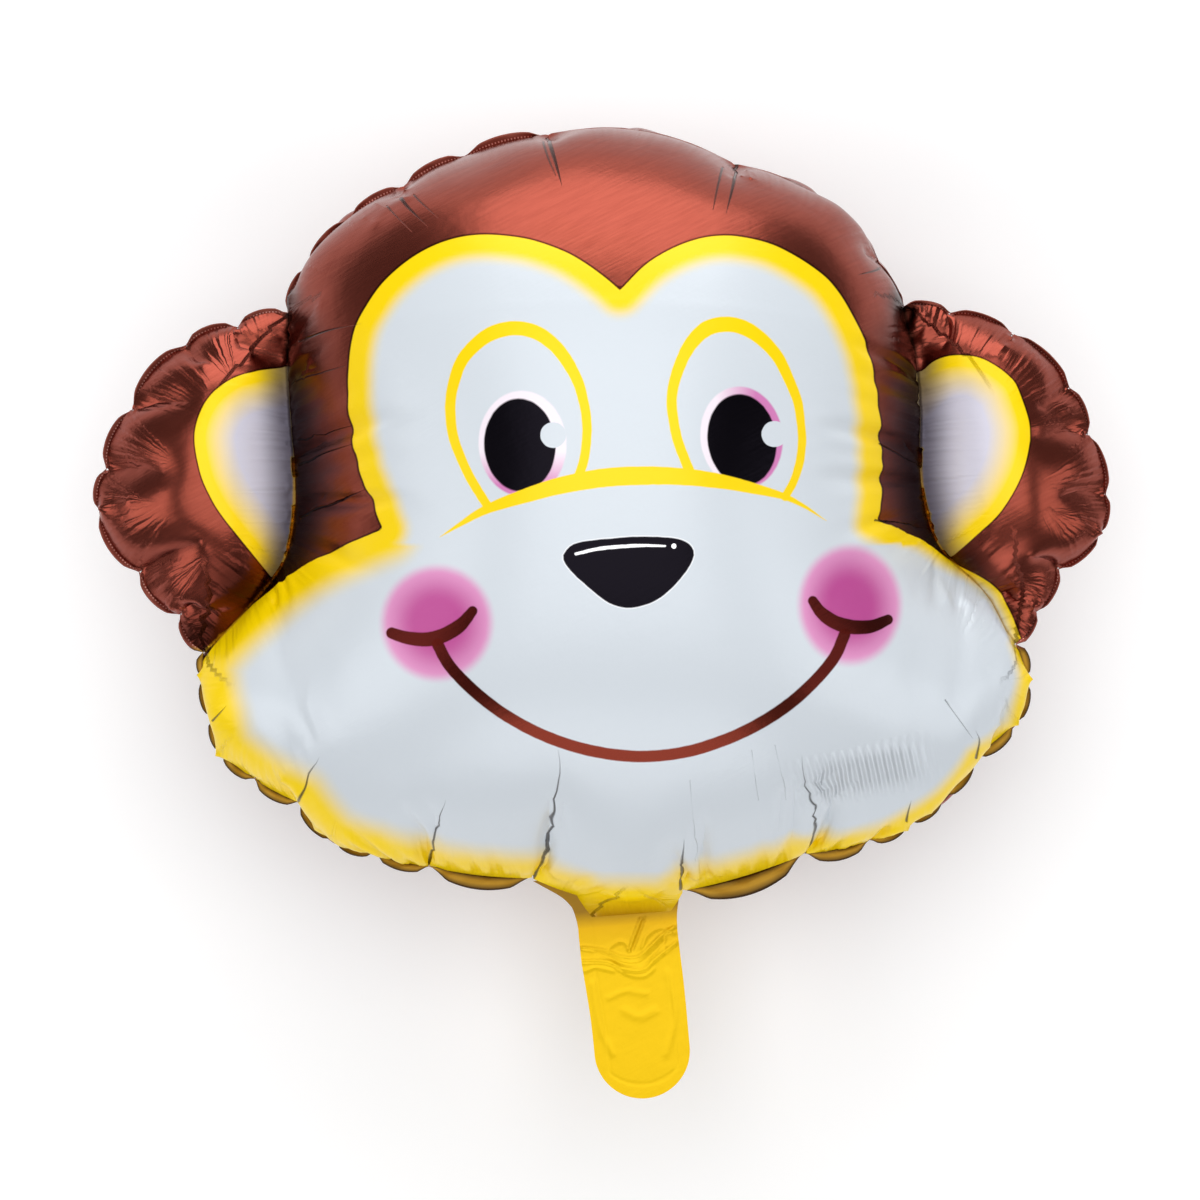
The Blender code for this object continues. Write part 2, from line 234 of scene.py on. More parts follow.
# Printed strokes: the line that each follows, and its half width at even steps along it, in millimetres
STROKES = {
    "left_eye_ring": (
        [
            (-69.4, 63.4), (-78.6, 78.3), (-84.2, 90.1), (-88.8, 102.0), (-90.8, 113.8), (-90.9, 125.7),
            (-88.6, 137.5), (-84.0, 149.4), (-75.0, 159.5), (-65.3, 165.7), (-53.1, 168.3), (-40.9, 166.0),
            (-30.5, 159.1), (-22.4, 149.4), (-15.5, 136.4), (-12.3, 125.7), (-10.3, 113.8), (-10.3, 102.0),
            (-11.9, 90.1), (-14.8, 81.2),
        ],
        [2.7, 2.8, 3.0, 3.2, 3.7, 4.3, 4.2, 3.7, 3.0, 2.8, 2.8],
    ),
    "right_eye_ring": (
        [
            (50.4, 84.2), (48.0, 90.1), (43.6, 102.0), (41.2, 113.8), (40.1, 125.7), (42.0, 137.5),
            (46.2, 149.4), (52.1, 159.8), (60.7, 167.9), (71.4, 170.6), (82.3, 168.7), (92.7, 162.3),
            (102.3, 152.1), (108.4, 140.5), (114.4, 125.7), (116.5, 113.8), (117.4, 102.0), (116.2, 90.1),
            (112.8, 78.3), (107.3, 68.2),
        ],
        [3.0, 3.0, 3.1, 3.6, 4.6, 4.4, 3.6, 3.0, 2.5, 2.5, 2.4],
    ),
    "muzzle_line": (
        [
            (-97.2, 44.5), (-85.4, 51.9), (-73.5, 59.0), (-61.7, 63.9), (-43.9, 69.7), (-26.1, 74.9),
            (-2.4, 79.3), (21.3, 80.8), (45.1, 80.3), (68.8, 77.5), (92.5, 72.3), (107.3, 68.2),
            (119.2, 62.3), (131.6, 54.2),
        ],
        [0.1, 2.2, 3.8, 4.9, 5.5, 5.6, 5.2, 4.6, 3.3, 1.6, 0.1],
    ),
    "smile": (
        [
            (-98.4, -19.5), (-93.1, -29.5), (-85.4, -38.8), (-73.5, -49.9), (-61.7, -58.9), (-49.8, -66.2),
            (-37.9, -72.2), (-26.1, -76.9), (-14.2, -80.6), (-2.4, -83.2), (9.5, -84.9), (21.3, -85.6),
            (33.2, -85.1), (45.1, -83.5), (56.9, -80.8), (68.8, -76.8), (80.6, -72.0), (92.5, -65.9),
            (104.3, -58.5), (116.2, -49.2), (128.1, -37.4), (137.0, -26.0), (142.5, -13.5),
        ],
        [3.5, 3.5, 3.5, 3.5, 3.5],
    ),
    "left_cheek_mark": (
        [
            (-125.7, -12.5), (-118.0, -15.0), (-108.5, -16.3), (-100.8, -15.6), (-93.1, -12.9),
            (-84.8, -7.5), (-77.9, 0.6),
        ],
        [3.4, 4.1, 4.4, 4.2, 2.9],
    ),
    "right_cheek_mark": (
        [
            (123.7, 6.6), (128.1, 0.3), (134.6, -4.9), (141.7, -7.9), (149.4, -9.1), (158.9, -8.5),
            (168.2, -4.6),
        ],
        [2.9, 4.0, 4.4, 4.0, 3.0],
    ),
    "nose_shine": ([(-16.6, 34.4), (-4.7, 37.2), (9.5, 38.8), (24.3, 39.4), (36.2, 39.1)], [0.8, 1.0, 0.9, 0.5]),
}

# Printed rounds: middle, half width, half height in millimetres, and how far the top leans left in degrees
ROUNDS = {
    "left_pupil": ((-49.8, 99.0), 21.2, 27.6, 3.0),
    "left_pupil_halo": ((-48.3, 99.7), 26.0, 31.4, 3.0),
    "left_glint": ((-30.1, 104.9), 7.6, 7.6, 0.0),
    "right_pupil": ((81.8, 102.0), 20.4, 27.2, 8.0),
    "right_pupil_halo": ((81.5, 103.5), 24.3, 30.2, 8.0),
    "right_glint": ((101.0, 105.5), 7.7, 7.7, 0.0),
    "left_cheek": ((-99.0, -6.6), 34.5, 35.5, 0.0),
    "right_cheek": ((145.8, 4.2), 32.0, 37.0, 0.0),
    "nose_glint": ((41.5, 39.1), 1.5, 1.5, 0.0),
}

# The tail's own frame: millimetres to the right of its middle and down from the neck between the solid's pinches
TAIL_START = (0.019, -0.273)
TAIL_SIDES = [
    (-8.9, -53.0, 34.0),
    (-5.5, -48.0, 33.9), (0.0, -39.8, 33.7), (2.6, -36.5, 33.6), (5.0, -34.2, 33.4), (9.0, -31.3, 32.4),
    (13.0, -30.2, 31.4), (17.5, -29.4, 30.5), (22.0, -29.0, 30.0), (28.0, -29.2, 29.7), (43.0, -29.4, 30.1),
    (60.0, -28.2, 30.8), (76.0, -26.8, 31.1), (97.0, -25.6, 31.1),
]
# The tail's folds: the line that each follows, how high it stands and its half width, all in millimetres
TAIL_FOLDS = [
    ([(-27.0, 33.0), (-14.0, 36.0), (-5.0, 40.5), (5.0, 41.5), (14.0, 35.0), (20.0, 30.0), (28.0, 25.5)], 0.9, 1.1),
    ([(-20.0, 36.5), (-12.0, 39.5), (-4.0, 44.0), (6.0, 45.0), (15.0, 39.0), (22.0, 33.0)], -0.6, 1.0),
    ([(-28.0, 41.0), (-14.0, 42.5), (-4.0, 47.5), (7.0, 49.5), (16.0, 43.0), (28.0, 35.0)], 0.8, 1.2),
    ([(-12.0, 35.0), (-6.0, 31.5), (-1.5, 32.5), (1.0, 37.0)], 0.5, 0.9),
    ([(9.0, 18.5), (5.5, 26.0), (0.5, 36.5)], 1.2, 0.9),
    ([(10.8, 19.0), (7.5, 26.0), (2.0, 37.0)], -0.9, 0.8),
    ([(8.0, 36.0), (12.0, 29.0), (20.0, 25.5), (28.0, 29.0)], 0.5, 1.1),
    ([(-10.0, 43.5), (-2.0, 51.0), (8.0, 53.0), (14.0, 49.0)], 0.4, 0.9),
    ([(-27.0, 47.0), (-20.0, 45.5), (-10.0, 48.5)], 0.35, 1.0),
    ([(-23.0, 55.0), (-21.0, 80.0), (-15.0, 97.0)], 0.3, 2.0),
    ([(22.0, 52.0), (24.0, 78.0), (17.0, 100.0)], 0.3, 2.0),
    ([(-6.0, 72.0), (3.0, 77.0), (12.0, 74.0)], 0.25, 2.5),
    ([(-14.0, 64.0), (-4.0, 61.0), (8.0, 63.5)], 0.2, 1.8),
]

# The print is measured from this high above this point of the seal's plane, both in metres
VIEW_CENTRE = (-0.00237, 0.00711)
VIEW_HEIGHT = 1.977
SEAL_HEIGHT = 0.1265

# How high the margin ripples and how closely its points are spaced, in metres
MARGIN_RIPPLE = 0.0022
MARGIN_STEP = 0.0022

# Where the middle of the solid's box is in the measured outlines, in metres
SOLID_MIDDLE = (-0.00089, -0.00059)

# The soft lights: name, place and size in metres, and brightness
LIGHTS = [
    ("crown_softbox", (0.1, 2.4, 1.1), (2.6, 2.0), 2.8),
    ("overhead_softbox", (0.0, 0.4, 2.6), (2.6, 2.4), 1.7),
    ("left_softbox", (-2.3, -0.3, 1.5), (1.5, 1.6), 1.9),
    ("right_softbox", (2.3, -0.3, 1.5), (1.5, 1.6), 1.6),
    ("chin_softbox", (0.0, -2.4, 1.9), (2.8, 1.6), 1.9),
]


def linear(hex_colour, alpha=1.0):
    """An sRGB hex colour as the linear values that Blender's sockets take."""
    shares = [int(hex_colour[place : place + 2], 16) / 255 for place in (1, 3, 5)]
    return (*(s / 12.92 if s <= 0.04045 else ((s + 0.055) / 1.055) ** 2.4 for s in shares), alpha)


class FilmSizes(bpy.types.PropertyGroup):
    """Sizes of the film and its seal."""

    width: FloatProperty(
        name="Width", description="Pinch to pinch across the ears", default=0.600, unit="LENGTH"
    )
    thickness: FloatProperty(
        name="Film thickness", description="Two sheets together", default=0.0005, unit="LENGTH", precision=5
    )
    spare: FloatProperty(
        name="Spare film", description="How much longer the flat cut is than the blown-up outline", default=1.2
    )
    spare_in_ears: FloatProperty(
        name="Spare film in the ears", description="As above, in the ears, which are puffier", default=1.21
    )
    spare_at_ears: FloatProperty(
        name="Spare film along the ear seals", description="As above, along the seal at an ear's root", default=1.1
    )
    seal_wave: FloatProperty(
        name="Seal wave", description="How far the pinches stand up and down", default=0.0022, unit="LENGTH"
    )
    crease_pull: FloatProperty(
        name="Crease pull", description="How strongly creases fold in, against the gas's push out", default=2.0
    )
    press: FloatProperty(
        name="Press", description="How far the balloon's back is flattened by the floor", default=0.002, unit="LENGTH"
    )
    margin: FloatProperty(
        name="Margin", description="Width of the sealed margin", default=0.0055, unit="LENGTH"
    )
    step: FloatProperty(
        name="First step", description="Spacing of the coarse film's points", default=0.0092, unit="LENGTH"
    )
    seed: IntProperty(name="Seed", description="Seed of the margin's ripples", default=7)


class PrintColours(bpy.types.PropertyGroup):
    """Inks and film colours."""

    brown: FloatVectorProperty(
        name="Brown film", description="Crown, ears and back", subtype="COLOR", size=4, default=linear("#964A3C")
    )
    yellow: FloatVectorProperty(
        name="Yellow ink", description="Edges and eye rings", subtype="COLOR", size=4, default=linear("#FBD600")
    )
    white: FloatVectorProperty(
        name="White ink", description="Face and inner ears", subtype="COLOR", size=4, default=linear("#D2D9E0")
    )
    black: FloatVectorProperty(
        name="Black ink", description="Pupils and nose", subtype="COLOR", size=4, default=linear("#131017")
    )
    pink: FloatVectorProperty(
        name="Pink ink", description="Cheeks and pupil rings", subtype="COLOR", size=4, default=linear("#B94C92")
    )
    maroon: FloatVectorProperty(
        name="Maroon ink", description="Smile and cheek marks", subtype="COLOR", size=4, default=linear("#4A1510")
    )


class StageSizes(bpy.types.PropertyGroup):
    """The camera's height and the lights' power."""

    camera_height: FloatProperty(
        name="Camera height", description="Above the seal", default=VIEW_HEIGHT, unit="LENGTH"
    )
    light_power: FloatProperty(name="Light", description="Share of each soft light's brightness", default=1.0)
    room_light: FloatProperty(name="Room light", description="Brightness of the dim room around", default=0.2)
    floor: FloatVectorProperty(
        name="Floor", description="Pale floor", subtype="COLOR", size=4, default=linear("#FAFAFA")
    )


def turned_left(vector):
    return np.array([-vector[1], vector[0]])


def unit(vector):
    return vector / np.linalg.norm(vector)


def curve_through(corners, steps=12):
    """A Catmull-Rom curve through the corners."""
    corners = [np.array(corner, float) for corner in corners]
    padded = [2 * corners[0] - corners[1], *corners, 2 * corners[-1] - corners[-2]]
    points = []
    for a, b, c, d in zip(padded, padded[1:], padded[2:], padded[3:]):
        for t in np.linspace(0, 1, steps, endpoint=False):
            bend = (2 * a - 5 * b + 4 * c - d) * t**2 + (3 * b - a - 3 * c + d) * t**3
            points.append(0.5 * (2 * b + (c - a) * t + bend))
    return np.array([*points, corners[-1]])


def evenly(points, step):
    """The same open line, with its points one step apart."""
    reached = np.concatenate([[0], np.cumsum(np.linalg.norm(np.diff(points, axis=0), axis=1))])
    places = np.linspace(0, reached[-1], max(2, round(reached[-1] / step)) + 1)
    return np.column_stack([np.interp(places, reached, points[:, axis]) for axis in (0, 1)])


class Seal:
    """The seal round the film. A place on it is named by its travel: the length of flat film back to the tail.

    The flat cut is longer than the line that it ends up on. Each scallop keeps its length, and what is spare
    is folded inwards at the pinches.
    """

    def __init__(self, sizes):
        self.sizes = sizes
        rows = [(share, *finish) for shares, *finish in STRETCHES for share in shares]
        solid_pinches = [np.array(row[0]) * sizes.width for row in rows]
        self.film_bows, self.margin_bows, standoffs, self.tilts, self.folding = zip(*[row[1:] for row in rows])
        count = len(rows)
        self.pinches = []
        for index in range(count):
            before, here, after = (solid_pinches[(index + step) % count] for step in (-1, 0, 1))
            outwards = turned_left(unit(unit(here - before) + unit(after - here)))
            self.pinches.append(here + outwards * standoffs[index])
        self.solid_pinches = solid_pinches
        self.arcs = [self.arc(index, self.pinches, self.film_bows) for index in range(count)]
        self.starts = np.concatenate([[0], np.cumsum([arc[5] * sizes.spare for arc in self.arcs])])
        self.length = self.starts[-1]
        self.inwards = []
        for before, after in zip(self.arcs[-1:] + self.arcs[:-1], self.arcs):
            leaving = math.cos(before[4]) * before[1] - math.sin(before[4]) * before[2]
            setting_off = math.cos(after[4]) * after[1] + math.sin(after[4]) * after[2]
            self.inwards.append(-turned_left(unit(leaving + setting_off)))

    @staticmethod
    def arc(index, pinches, bows):
        """One scallop: its circle's middle, directions along and out, radius, half angle and length."""
        start, end = pinches[index], pinches[(index + 1) % len(pinches)]
        chord = end - start
        along = unit(chord)
        out = turned_left(along)
        half_angle = 2 * math.atan(2 * max(bows[index], 0.004))
        radius = np.linalg.norm(chord) / 2 / math.sin(half_angle)
        middle = start + chord / 2 - out * radius * math.cos(half_angle)
        return middle, along, out, radius, half_angle, 2 * half_angle * radius

    def places(self, travel, folded=1.0):
        """Where these places lie once the film is swollen."""
        travel = np.mod(np.asarray(travel, float), self.length)
        arc_of = np.clip(np.searchsorted(self.starts, travel, side="right") - 1, 0, len(self.arcs) - 1)
        found = np.zeros((len(travel), 2))
        for index in np.unique(arc_of):
            middle, along, outwards, radius, half_angle, length = self.arcs[index]
            chosen = arc_of == index
            reached = travel[chosen] - self.starts[index]
            following = (index + 1) % len(self.arcs)
            fold = length * (self.sizes.spare - 1) / 2
            folds = [fold * self.folding[number] for number in (index, following)]
            on_arc = length * self.sizes.spare - sum(folds)
            angle = half_angle * (2 * np.clip((reached - folds[0]) / on_arc, 0, 1) - 1)
            place = middle + radius * (np.sin(angle)[:, None] * along + np.cos(angle)[:, None] * outwards)
            place = place + folded * np.maximum(folds[0] - reached, 0)[:, None] * self.inwards[index]
            at_end = np.maximum(reached - folds[0] - on_arc, 0)
            found[chosen] = place + folded * at_end[:, None] * self.inwards[following]
        return found

    def heights(self, travel):
        """The seal's wave, in which pinches stand up and down by turns, and which dies out at the neck."""
        count = np.interp(np.mod(travel, self.length), self.starts, np.arange(len(self.starts)))
        wave = np.cos(math.pi * count)
        level = np.clip(np.minimum(count - 1, len(self.arcs) - 2 - count), 0, 1)
        return self.sizes.seal_wave * wave * np.abs(wave) ** 1.5 * level


def crease_plans(seal, sizes):
    """Where the film creases in the flat cut, and how deeply."""
    long_starts = {start for start, _, _ in LONG_CREASES}
    plans = [(np.array([start, *rest]) * sizes.width, depth) for start, rest, depth in LONG_CREASES]
    shares = [tuple(share) for stretch in STRETCHES for share in stretch[0]]
    for pinches, reach in SHORT_CREASES:
        for pinch in pinches:
            if tuple(pinch) in long_starts:
                continue
            index = shares.index(tuple(pinch))
            start = seal.pinches[index]
            plans.append((np.array([start, start + seal.inwards[index] * reach * sizes.width]), SHORT_DEPTH))
    plans += [(np.array(line) * sizes.width, ROOT_DEPTH) for line in ROOT_CREASES]
    plans += [(np.array(line) * sizes.width, FAINT_DEPTH) for line in FAINT_CREASES]
    return plans


def inside(points, outline):
    """Which points lie inside a closed outline."""
    within = np.zeros(len(points), bool)
    for start, end in zip(outline, np.roll(outline, -1, axis=0)):
        if start[1] == end[1]:
            continue
        spans = (start[1] > points[:, 1]) != (end[1] > points[:, 1])
        rise = (points[:, 1] - start[1]) / (end[1] - start[1])
        within ^= spans & (points[:, 0] < start[0] + rise * (end[0] - start[0]))
    return within


def edges_of(triangles):
    """Each edge once, and the edge that every triangle's three sides are."""
    sides = np.vstack([triangles[:, [0, 1]], triangles[:, [1, 2]], triangles[:, [2, 0]]])
    edges, side_edge = np.unique(np.sort(sides, axis=1), axis=0, return_inverse=True)
    return edges, side_edge.reshape(-1)


class Film:
    """One sheet of film between the seals, as triangles that can be made finer."""

    def __init__(self, sizes, seal):
        self.sizes = sizes
        self.seal = seal
        self.level = 0
        travel = []
        for start, arc in zip(seal.starts, seal.arcs):
            count = max(1, round(arc[5] / sizes.step))
            travel += [start + arc[5] * sizes.spare * k / count for k in range(count)]
        points = list(seal.places(travel, folded=0.0))
        rim = np.array(points)
        lines = [(index, (index + 1) % len(rim)) for index in range(len(rim))]
        self.ear_lines = []
        for ear_seal, above, below in (
            (LEFT_EAR_SEAL, LEFT_CROWN[0], LEFT_EAR[0]),
            (RIGHT_EAR_SEAL, RIGHT_EAR[0], RIGHT_JOWL[0]),
        ):
            corners = np.array([above, *ear_seal, below]) * sizes.width
            line = evenly(curve_through(corners), sizes.step)
            ends = [int(np.linalg.norm(rim - end, axis=1).argmin()) for end in (line[0], line[-1])]
            first = len(points)
            points += list(line[1:-1])
            ear_line = [ends[0], *range(first, len(points)), ends[1]]
            self.ear_lines.append(ear_line)
            lines += list(zip(ear_line, ear_line[1:]))
        sealed_count = len(points)
        self.creases, self.crease_depths = [], []
        for line, depth in crease_plans(seal, sizes):
            start = int(np.linalg.norm(np.array(points[:sealed_count]) - line[0], axis=1).argmin())
            if depth > FAINT_DEPTH:
                line = np.vstack([points[start], line[1:]])
            else:
                start = len(points)
                points.append(line[0])
            spaced = evenly(curve_through(line, 6), sizes.step * 0.8)[1:]
            first = len(points)
            points += list(spaced)
            crease = [start, *range(first, len(points))]
            self.creases.append(crease)
            self.crease_depths.append(depth)
            lines += list(zip(crease, crease[1:]))
        drawn = np.array(points)
        filling = self.lattice(rim, drawn)
        self.cut = np.vstack([drawn, filling])
        self.triangles = self.triangulated(lines, len(rim))
        self.travel = np.full(len(self.cut), np.nan)
        self.travel[: len(rim)] = travel
        self.relax(len(drawn))

    def lattice(self, rim, sealed):
        """Points on a triangular lattice inside the rim, clear of the seals."""
        step = self.sizes.step
        low, high = sealed.min(axis=0), sealed.max(axis=0)
        rows = []
        for row, height in enumerate(np.arange(low[1], high[1], step * math.sqrt(3) / 2)):
            across = np.arange(low[0] + step / 2 * (row % 2), high[0], step)
            rows.append(np.column_stack([across, np.full(len(across), height)]))
        points = np.vstack(rows)
        points = points[inside(points, rim)]
        clear = np.linalg.norm(points[:, None] - sealed, axis=2).min(axis=1) > 0.62 * step
        return points[clear]

    def triangulated(self, lines, rim_count):
        rim_loop = [list(range(rim_count - 1, -1, -1))]
        found = delaunay_2d_cdt([Vector(point) for point in self.cut], lines, rim_loop, 1, 1e-7)
        origin = np.array([sources[0] for sources in found[3]])
        triangles = origin[np.array([list(face) for face in found[2]])]
        corner, second, third = (self.cut[triangles[:, k]] for k in range(3))
        turn = np.cross(second - corner, third - corner)
        triangles[turn < 0] = triangles[turn < 0][:, ::-1]
        return triangles

    def relax(self, sealed_count):
        """Evens out the triangles away from the seals."""
        edges, _ = edges_of(self.triangles)
        for _ in range(8):
            total = np.zeros_like(self.cut)
            count = np.zeros(len(self.cut))
            for near, far in ((0, 1), (1, 0)):
                np.add.at(total, edges[:, near], self.cut[edges[:, far]])
                np.add.at(count, edges[:, near], 1)
            self.cut[sealed_count:] = total[sealed_count:] / count[sealed_count:, None]

    def pinned(self, side=1):
        """Which points the seals hold, and where they hold them: the front sheet's side is 1, the back's is -1."""
        held = ~np.isnan(self.travel)
        places = np.column_stack([self.cut, np.zeros(len(self.cut))])
        places[held, :2] = self.seal.places(self.travel[held])
        places[held, 2] = side * self.seal.heights(self.travel[held])
        for ear_line in self.ear_lines:
            held[ear_line] = True
        return held, places

    def finer(self, *sets):
        """Splits every triangle into four, and carries the given sets of values over to the new points."""
        edges, side_edge = edges_of(self.triangles)
        first_new = len(self.cut)
        ends = self.travel[edges]
        forward = np.mod(ends[:, 1] - ends[:, 0] + self.seal.length / 2, self.seal.length) - self.seal.length / 2
        middle = np.mod(ends[:, 0] + forward / 2, self.seal.length)
        outer = np.bincount(side_edge, minlength=len(edges)) == 1
        edge_number = {tuple(edge): number for number, edge in enumerate(edges.tolist())}
        for lines in (self.ear_lines, self.creases):
            for which, line in enumerate(lines):
                denser = [line[0]]
                for start, end in zip(line, line[1:]):
                    denser += [first_new + edge_number[min(start, end), max(start, end)], end]
                lines[which] = denser
        self.level += 1
        self.travel = np.concatenate([self.travel, np.where(outer, middle, np.nan)])
        self.cut = np.vstack([self.cut, self.cut[edges].mean(axis=1)])
        a, b, c = self.triangles.T
        ab, bc, ca = side_edge.reshape(3, -1) + first_new
        quarters = [(a, ab, ca), (ab, b, bc), (ca, bc, c), (ab, bc, ca)]
        self.triangles = np.vstack([np.column_stack(quarter) for quarter in quarters])
        return [np.vstack([values, values[edges].mean(axis=1)]) for values in sets]

    def flat_lengths(self, pairs):
        """How far apart pairs of points lie in the flat cut, where there is spare film to swell with."""
        sizes = self.sizes
        apart = self.cut[pairs[:, 1]] - self.cut[pairs[:, 0]]
        middle = self.cut[pairs].mean(axis=1)
        root = 0.312 * sizes.width
        from_root = np.abs(middle[:, 0]) - root
        near_root = np.exp(-((from_root / 0.035) ** 2)) * np.exp(-(((middle[:, 1] - 0.09) / 0.085) ** 4))
        in_ear = np.clip(from_root / 0.03, 0, 1) * (middle[:, 1] > -0.03)
        across = sizes.spare + (sizes.spare_in_ears - sizes.spare) * in_ear
        upright = across - (sizes.spare - sizes.spare_at_ears) * near_root
        return np.hypot(apart[:, 0] * across, apart[:, 1] * upright)

    def push_shares(self):
        """How much of the gas's push each point takes: creases are pulled in instead, less towards their ends."""
        shares = np.ones(len(self.cut))
        for crease, depth in zip(self.creases, self.crease_depths):
            far = np.linspace(0, 1, len(crease))
            shares[crease] = -self.sizes.crease_pull * depth * 2**self.level * (1 - far**2)
        return shares


def in_turns(pairs, count, seed):
    """Splits pairs of points into groups in which no point comes twice."""
    draw = np.random.default_rng(seed)
    waiting = np.arange(len(pairs))
    groups = []
    while len(waiting):
        chosen = []
        pool = waiting
        taken = np.zeros(count, bool)
        while len(pool):
            rank = draw.permutation(len(pool))
            best = np.full(count, len(pool) + 1)
            np.minimum.at(best, pairs[pool, 0], rank)
            np.minimum.at(best, pairs[pool, 1], rank)
            first = (best[pairs[pool, 0]] == rank) & (best[pairs[pool, 1]] == rank)
            chosen.append(pool[first])
            taken[pairs[pool[first]].ravel()] = True
            pool = pool[~first]
            pool = pool[~taken[pairs[pool]].any(axis=1)]
        group = np.concatenate(chosen)
        groups.append(group)
        left = np.ones(len(pairs), bool)
        left[group] = False
        waiting = waiting[left[waiting]]
    return groups


def swell(film, places, side, steps, pressure, passes=6, squeeze=0.3, stiffness=0.05, damping=0.97):
    """Blows gas under the film until it settles. The film hardly stretches, but it folds freely."""
    held, seats = film.pinned(side)
    triangles = film.triangles
    edges, side_edge = edges_of(triangles)
    opposite = np.concatenate([triangles[:, 2], triangles[:, 0], triangles[:, 1]])
    order = np.argsort(side_edge, kind="stable")
    twin = np.flatnonzero(side_edge[order][1:] == side_edge[order][:-1])
    hinges = np.column_stack([opposite[order[twin]], opposite[order[twin + 1]]])
    rules = []
    for pairs, seed, give in ((edges, 1, squeeze), (hinges, 2, stiffness)):
        pairs = pairs[~held[pairs].all(axis=1)]
        lengths = film.flat_lengths(pairs)
        free = (~held[pairs]).astype(float)
        shares = free / free.sum(axis=1, keepdims=True)
        for group in in_turns(pairs, len(places), seed):
            first, second = pairs[group].T
            shift = shares[group]
            rules.append((first, second, lengths[group], shift[:, :1], shift[:, 1:], give, seed == 1))
    flat = film.cut * film.sizes.spare
    sides = flat[triangles[:, 1:]] - flat[triangles[:, :1]]
    area = np.abs(np.cross(sides[:, 0], sides[:, 1])) / 2
    weight = sum(np.bincount(triangles[:, k], area / 3, len(places)) for k in range(3))
    if side > 0:
        # A share of 0, at a crease's end, gives an endless weight and so no push
        with np.errstate(divide="ignore"):
            weight = weight / film.push_shares()
    places = np.where(held[:, None], seats, places)
    speed = np.zeros_like(places)
    for _ in range(steps):
        corner, second, third = (places[triangles[:, k]] for k in range(3))
        push = np.cross(second - corner, third - corner) / 6
        for axis in range(3):
            lift = sum(np.bincount(triangles[:, k], push[:, axis], len(places)) for k in range(3))
            speed[:, axis] = speed[:, axis] * damping + pressure * lift / weight
        speed[held] = 0
        moved = places + speed
        for _ in range(passes):
            for first, second, lengths, first_share, second_share, give, resists_pull in rules:
                apart = moved[second] - moved[first]
                distance = np.sqrt(np.einsum("ij,ij->i", apart, apart)) + 1e-12
                excess = (distance - lengths) / distance
                excess = np.where(excess > 0, excess if resists_pull else 0, excess * give)
                apart *= excess[:, None]
                moved[first] += apart * first_share
                moved[second] -= apart * second_share
        moved[:, 2] = np.where(held, moved[:, 2], np.maximum(moved[:, 2], 0.0004))
        speed = moved - places
        places = moved
    return places


def dome(film):
    """A first guess at the swollen film, rising steeply from every pinned point to a flat top."""
    held, seats = film.pinned()
    far = np.linalg.norm(film.cut[:, None] - film.cut[held], axis=2).min(axis=1)
    share = far / far.max()
    places = np.column_stack([film.cut, 0.125 * np.sqrt(share * (2 - share))])
    return np.where(held[:, None], seats, places)


def smoothed(film, values, rounds, keep=None):
    """Values averaged with their neighbours', round after round, except where keep holds them."""
    edges, _ = edges_of(film.triangles)
    near = np.concatenate([edges[:, 0], edges[:, 1]])
    far = np.concatenate([edges[:, 1], edges[:, 0]])
    count = np.bincount(near, minlength=len(values))[:, None]
    for _ in range(rounds):
        columns = [np.bincount(near, values[far, k], len(values)) for k in range(values.shape[1])]
        average = np.column_stack(columns) / count
        values = average if keep is None else np.where(keep[:, None], values, average)
    return values


def distance_to(points, line):
    """For each point: the distance to an open line, which side it is on, and how far along it is."""
    sides = np.diff(line, axis=0)
    lengths = np.linalg.norm(sides, axis=1)
    reached = np.concatenate([[0], np.cumsum(lengths)])
    nearest = np.full(len(points), np.inf)
    along = np.zeros(len(points))
    across = np.zeros(len(points))
    for start, side, length, before in zip(line[:-1], sides, lengths, reached):
        offset = points - start
        share = np.clip(offset @ side / length**2, 0, 1)
        distance = np.linalg.norm(offset - share[:, None] * side, axis=1)
        closer = distance < nearest
        nearest[closer] = distance[closer]
        along[closer] = before + share[closer] * length
        turn = side[0] * offset[:, 1] - side[1] * offset[:, 0]
        across[closer] = np.where(turn >= 0, distance, -distance)[closer]
    return nearest, across, along


def patch_distance(points, outline):
    """The distance to a closed outline, positive inside it."""
    closed = np.vstack([outline, outline[:1]])
    nearest, _, _ = distance_to(points, closed)
    return np.where(inside(points, outline), nearest, -nearest)


def stroke_values(points, centre_line, half_widths):
    """Three values that the print needs of a stroke: across it, its half width there, and beyond its ends."""
    line = curve_through(centre_line, 6)
    length = np.linalg.norm(np.diff(line, axis=0), axis=1).sum()
    before = line[0] + unit(line[0] - line[1]) * 12
    after = line[-1] + unit(line[-1] - line[-2]) * 12
    _, across, along = distance_to(points, np.vstack([before, line, after]))
    along -= 12
    half = np.interp(along / length, np.linspace(0, 1, len(half_widths)), half_widths)
    beyond = np.abs(along - length / 2) - length / 2
    return np.column_stack([across, half, beyond])


def face_outline(width):
    """The face patch: its printed edge above, and past the seal below so that the jowls are printed to the edge."""
    pieces = []
    for start, end in zip(FACE_CORNERS, FACE_CORNERS[1:]):
        pieces.append(curve_through(FACE_PATCH[start : end + 1], 6)[:-1])
    jowls = np.array([*RIGHT_JOWL, (0.066, -0.31), (-0.012, -0.31), *LEFT_JOWL]) * 1.04 * width * 1000
    return np.vstack([*pieces, jowls])


def fading(distance, full, gone):
    """1 up to one distance and 0 past another, smoothly between."""
    share = np.clip((gone - distance) / (gone - full), 0, 1)
    return share * share * (3 - 2 * share)


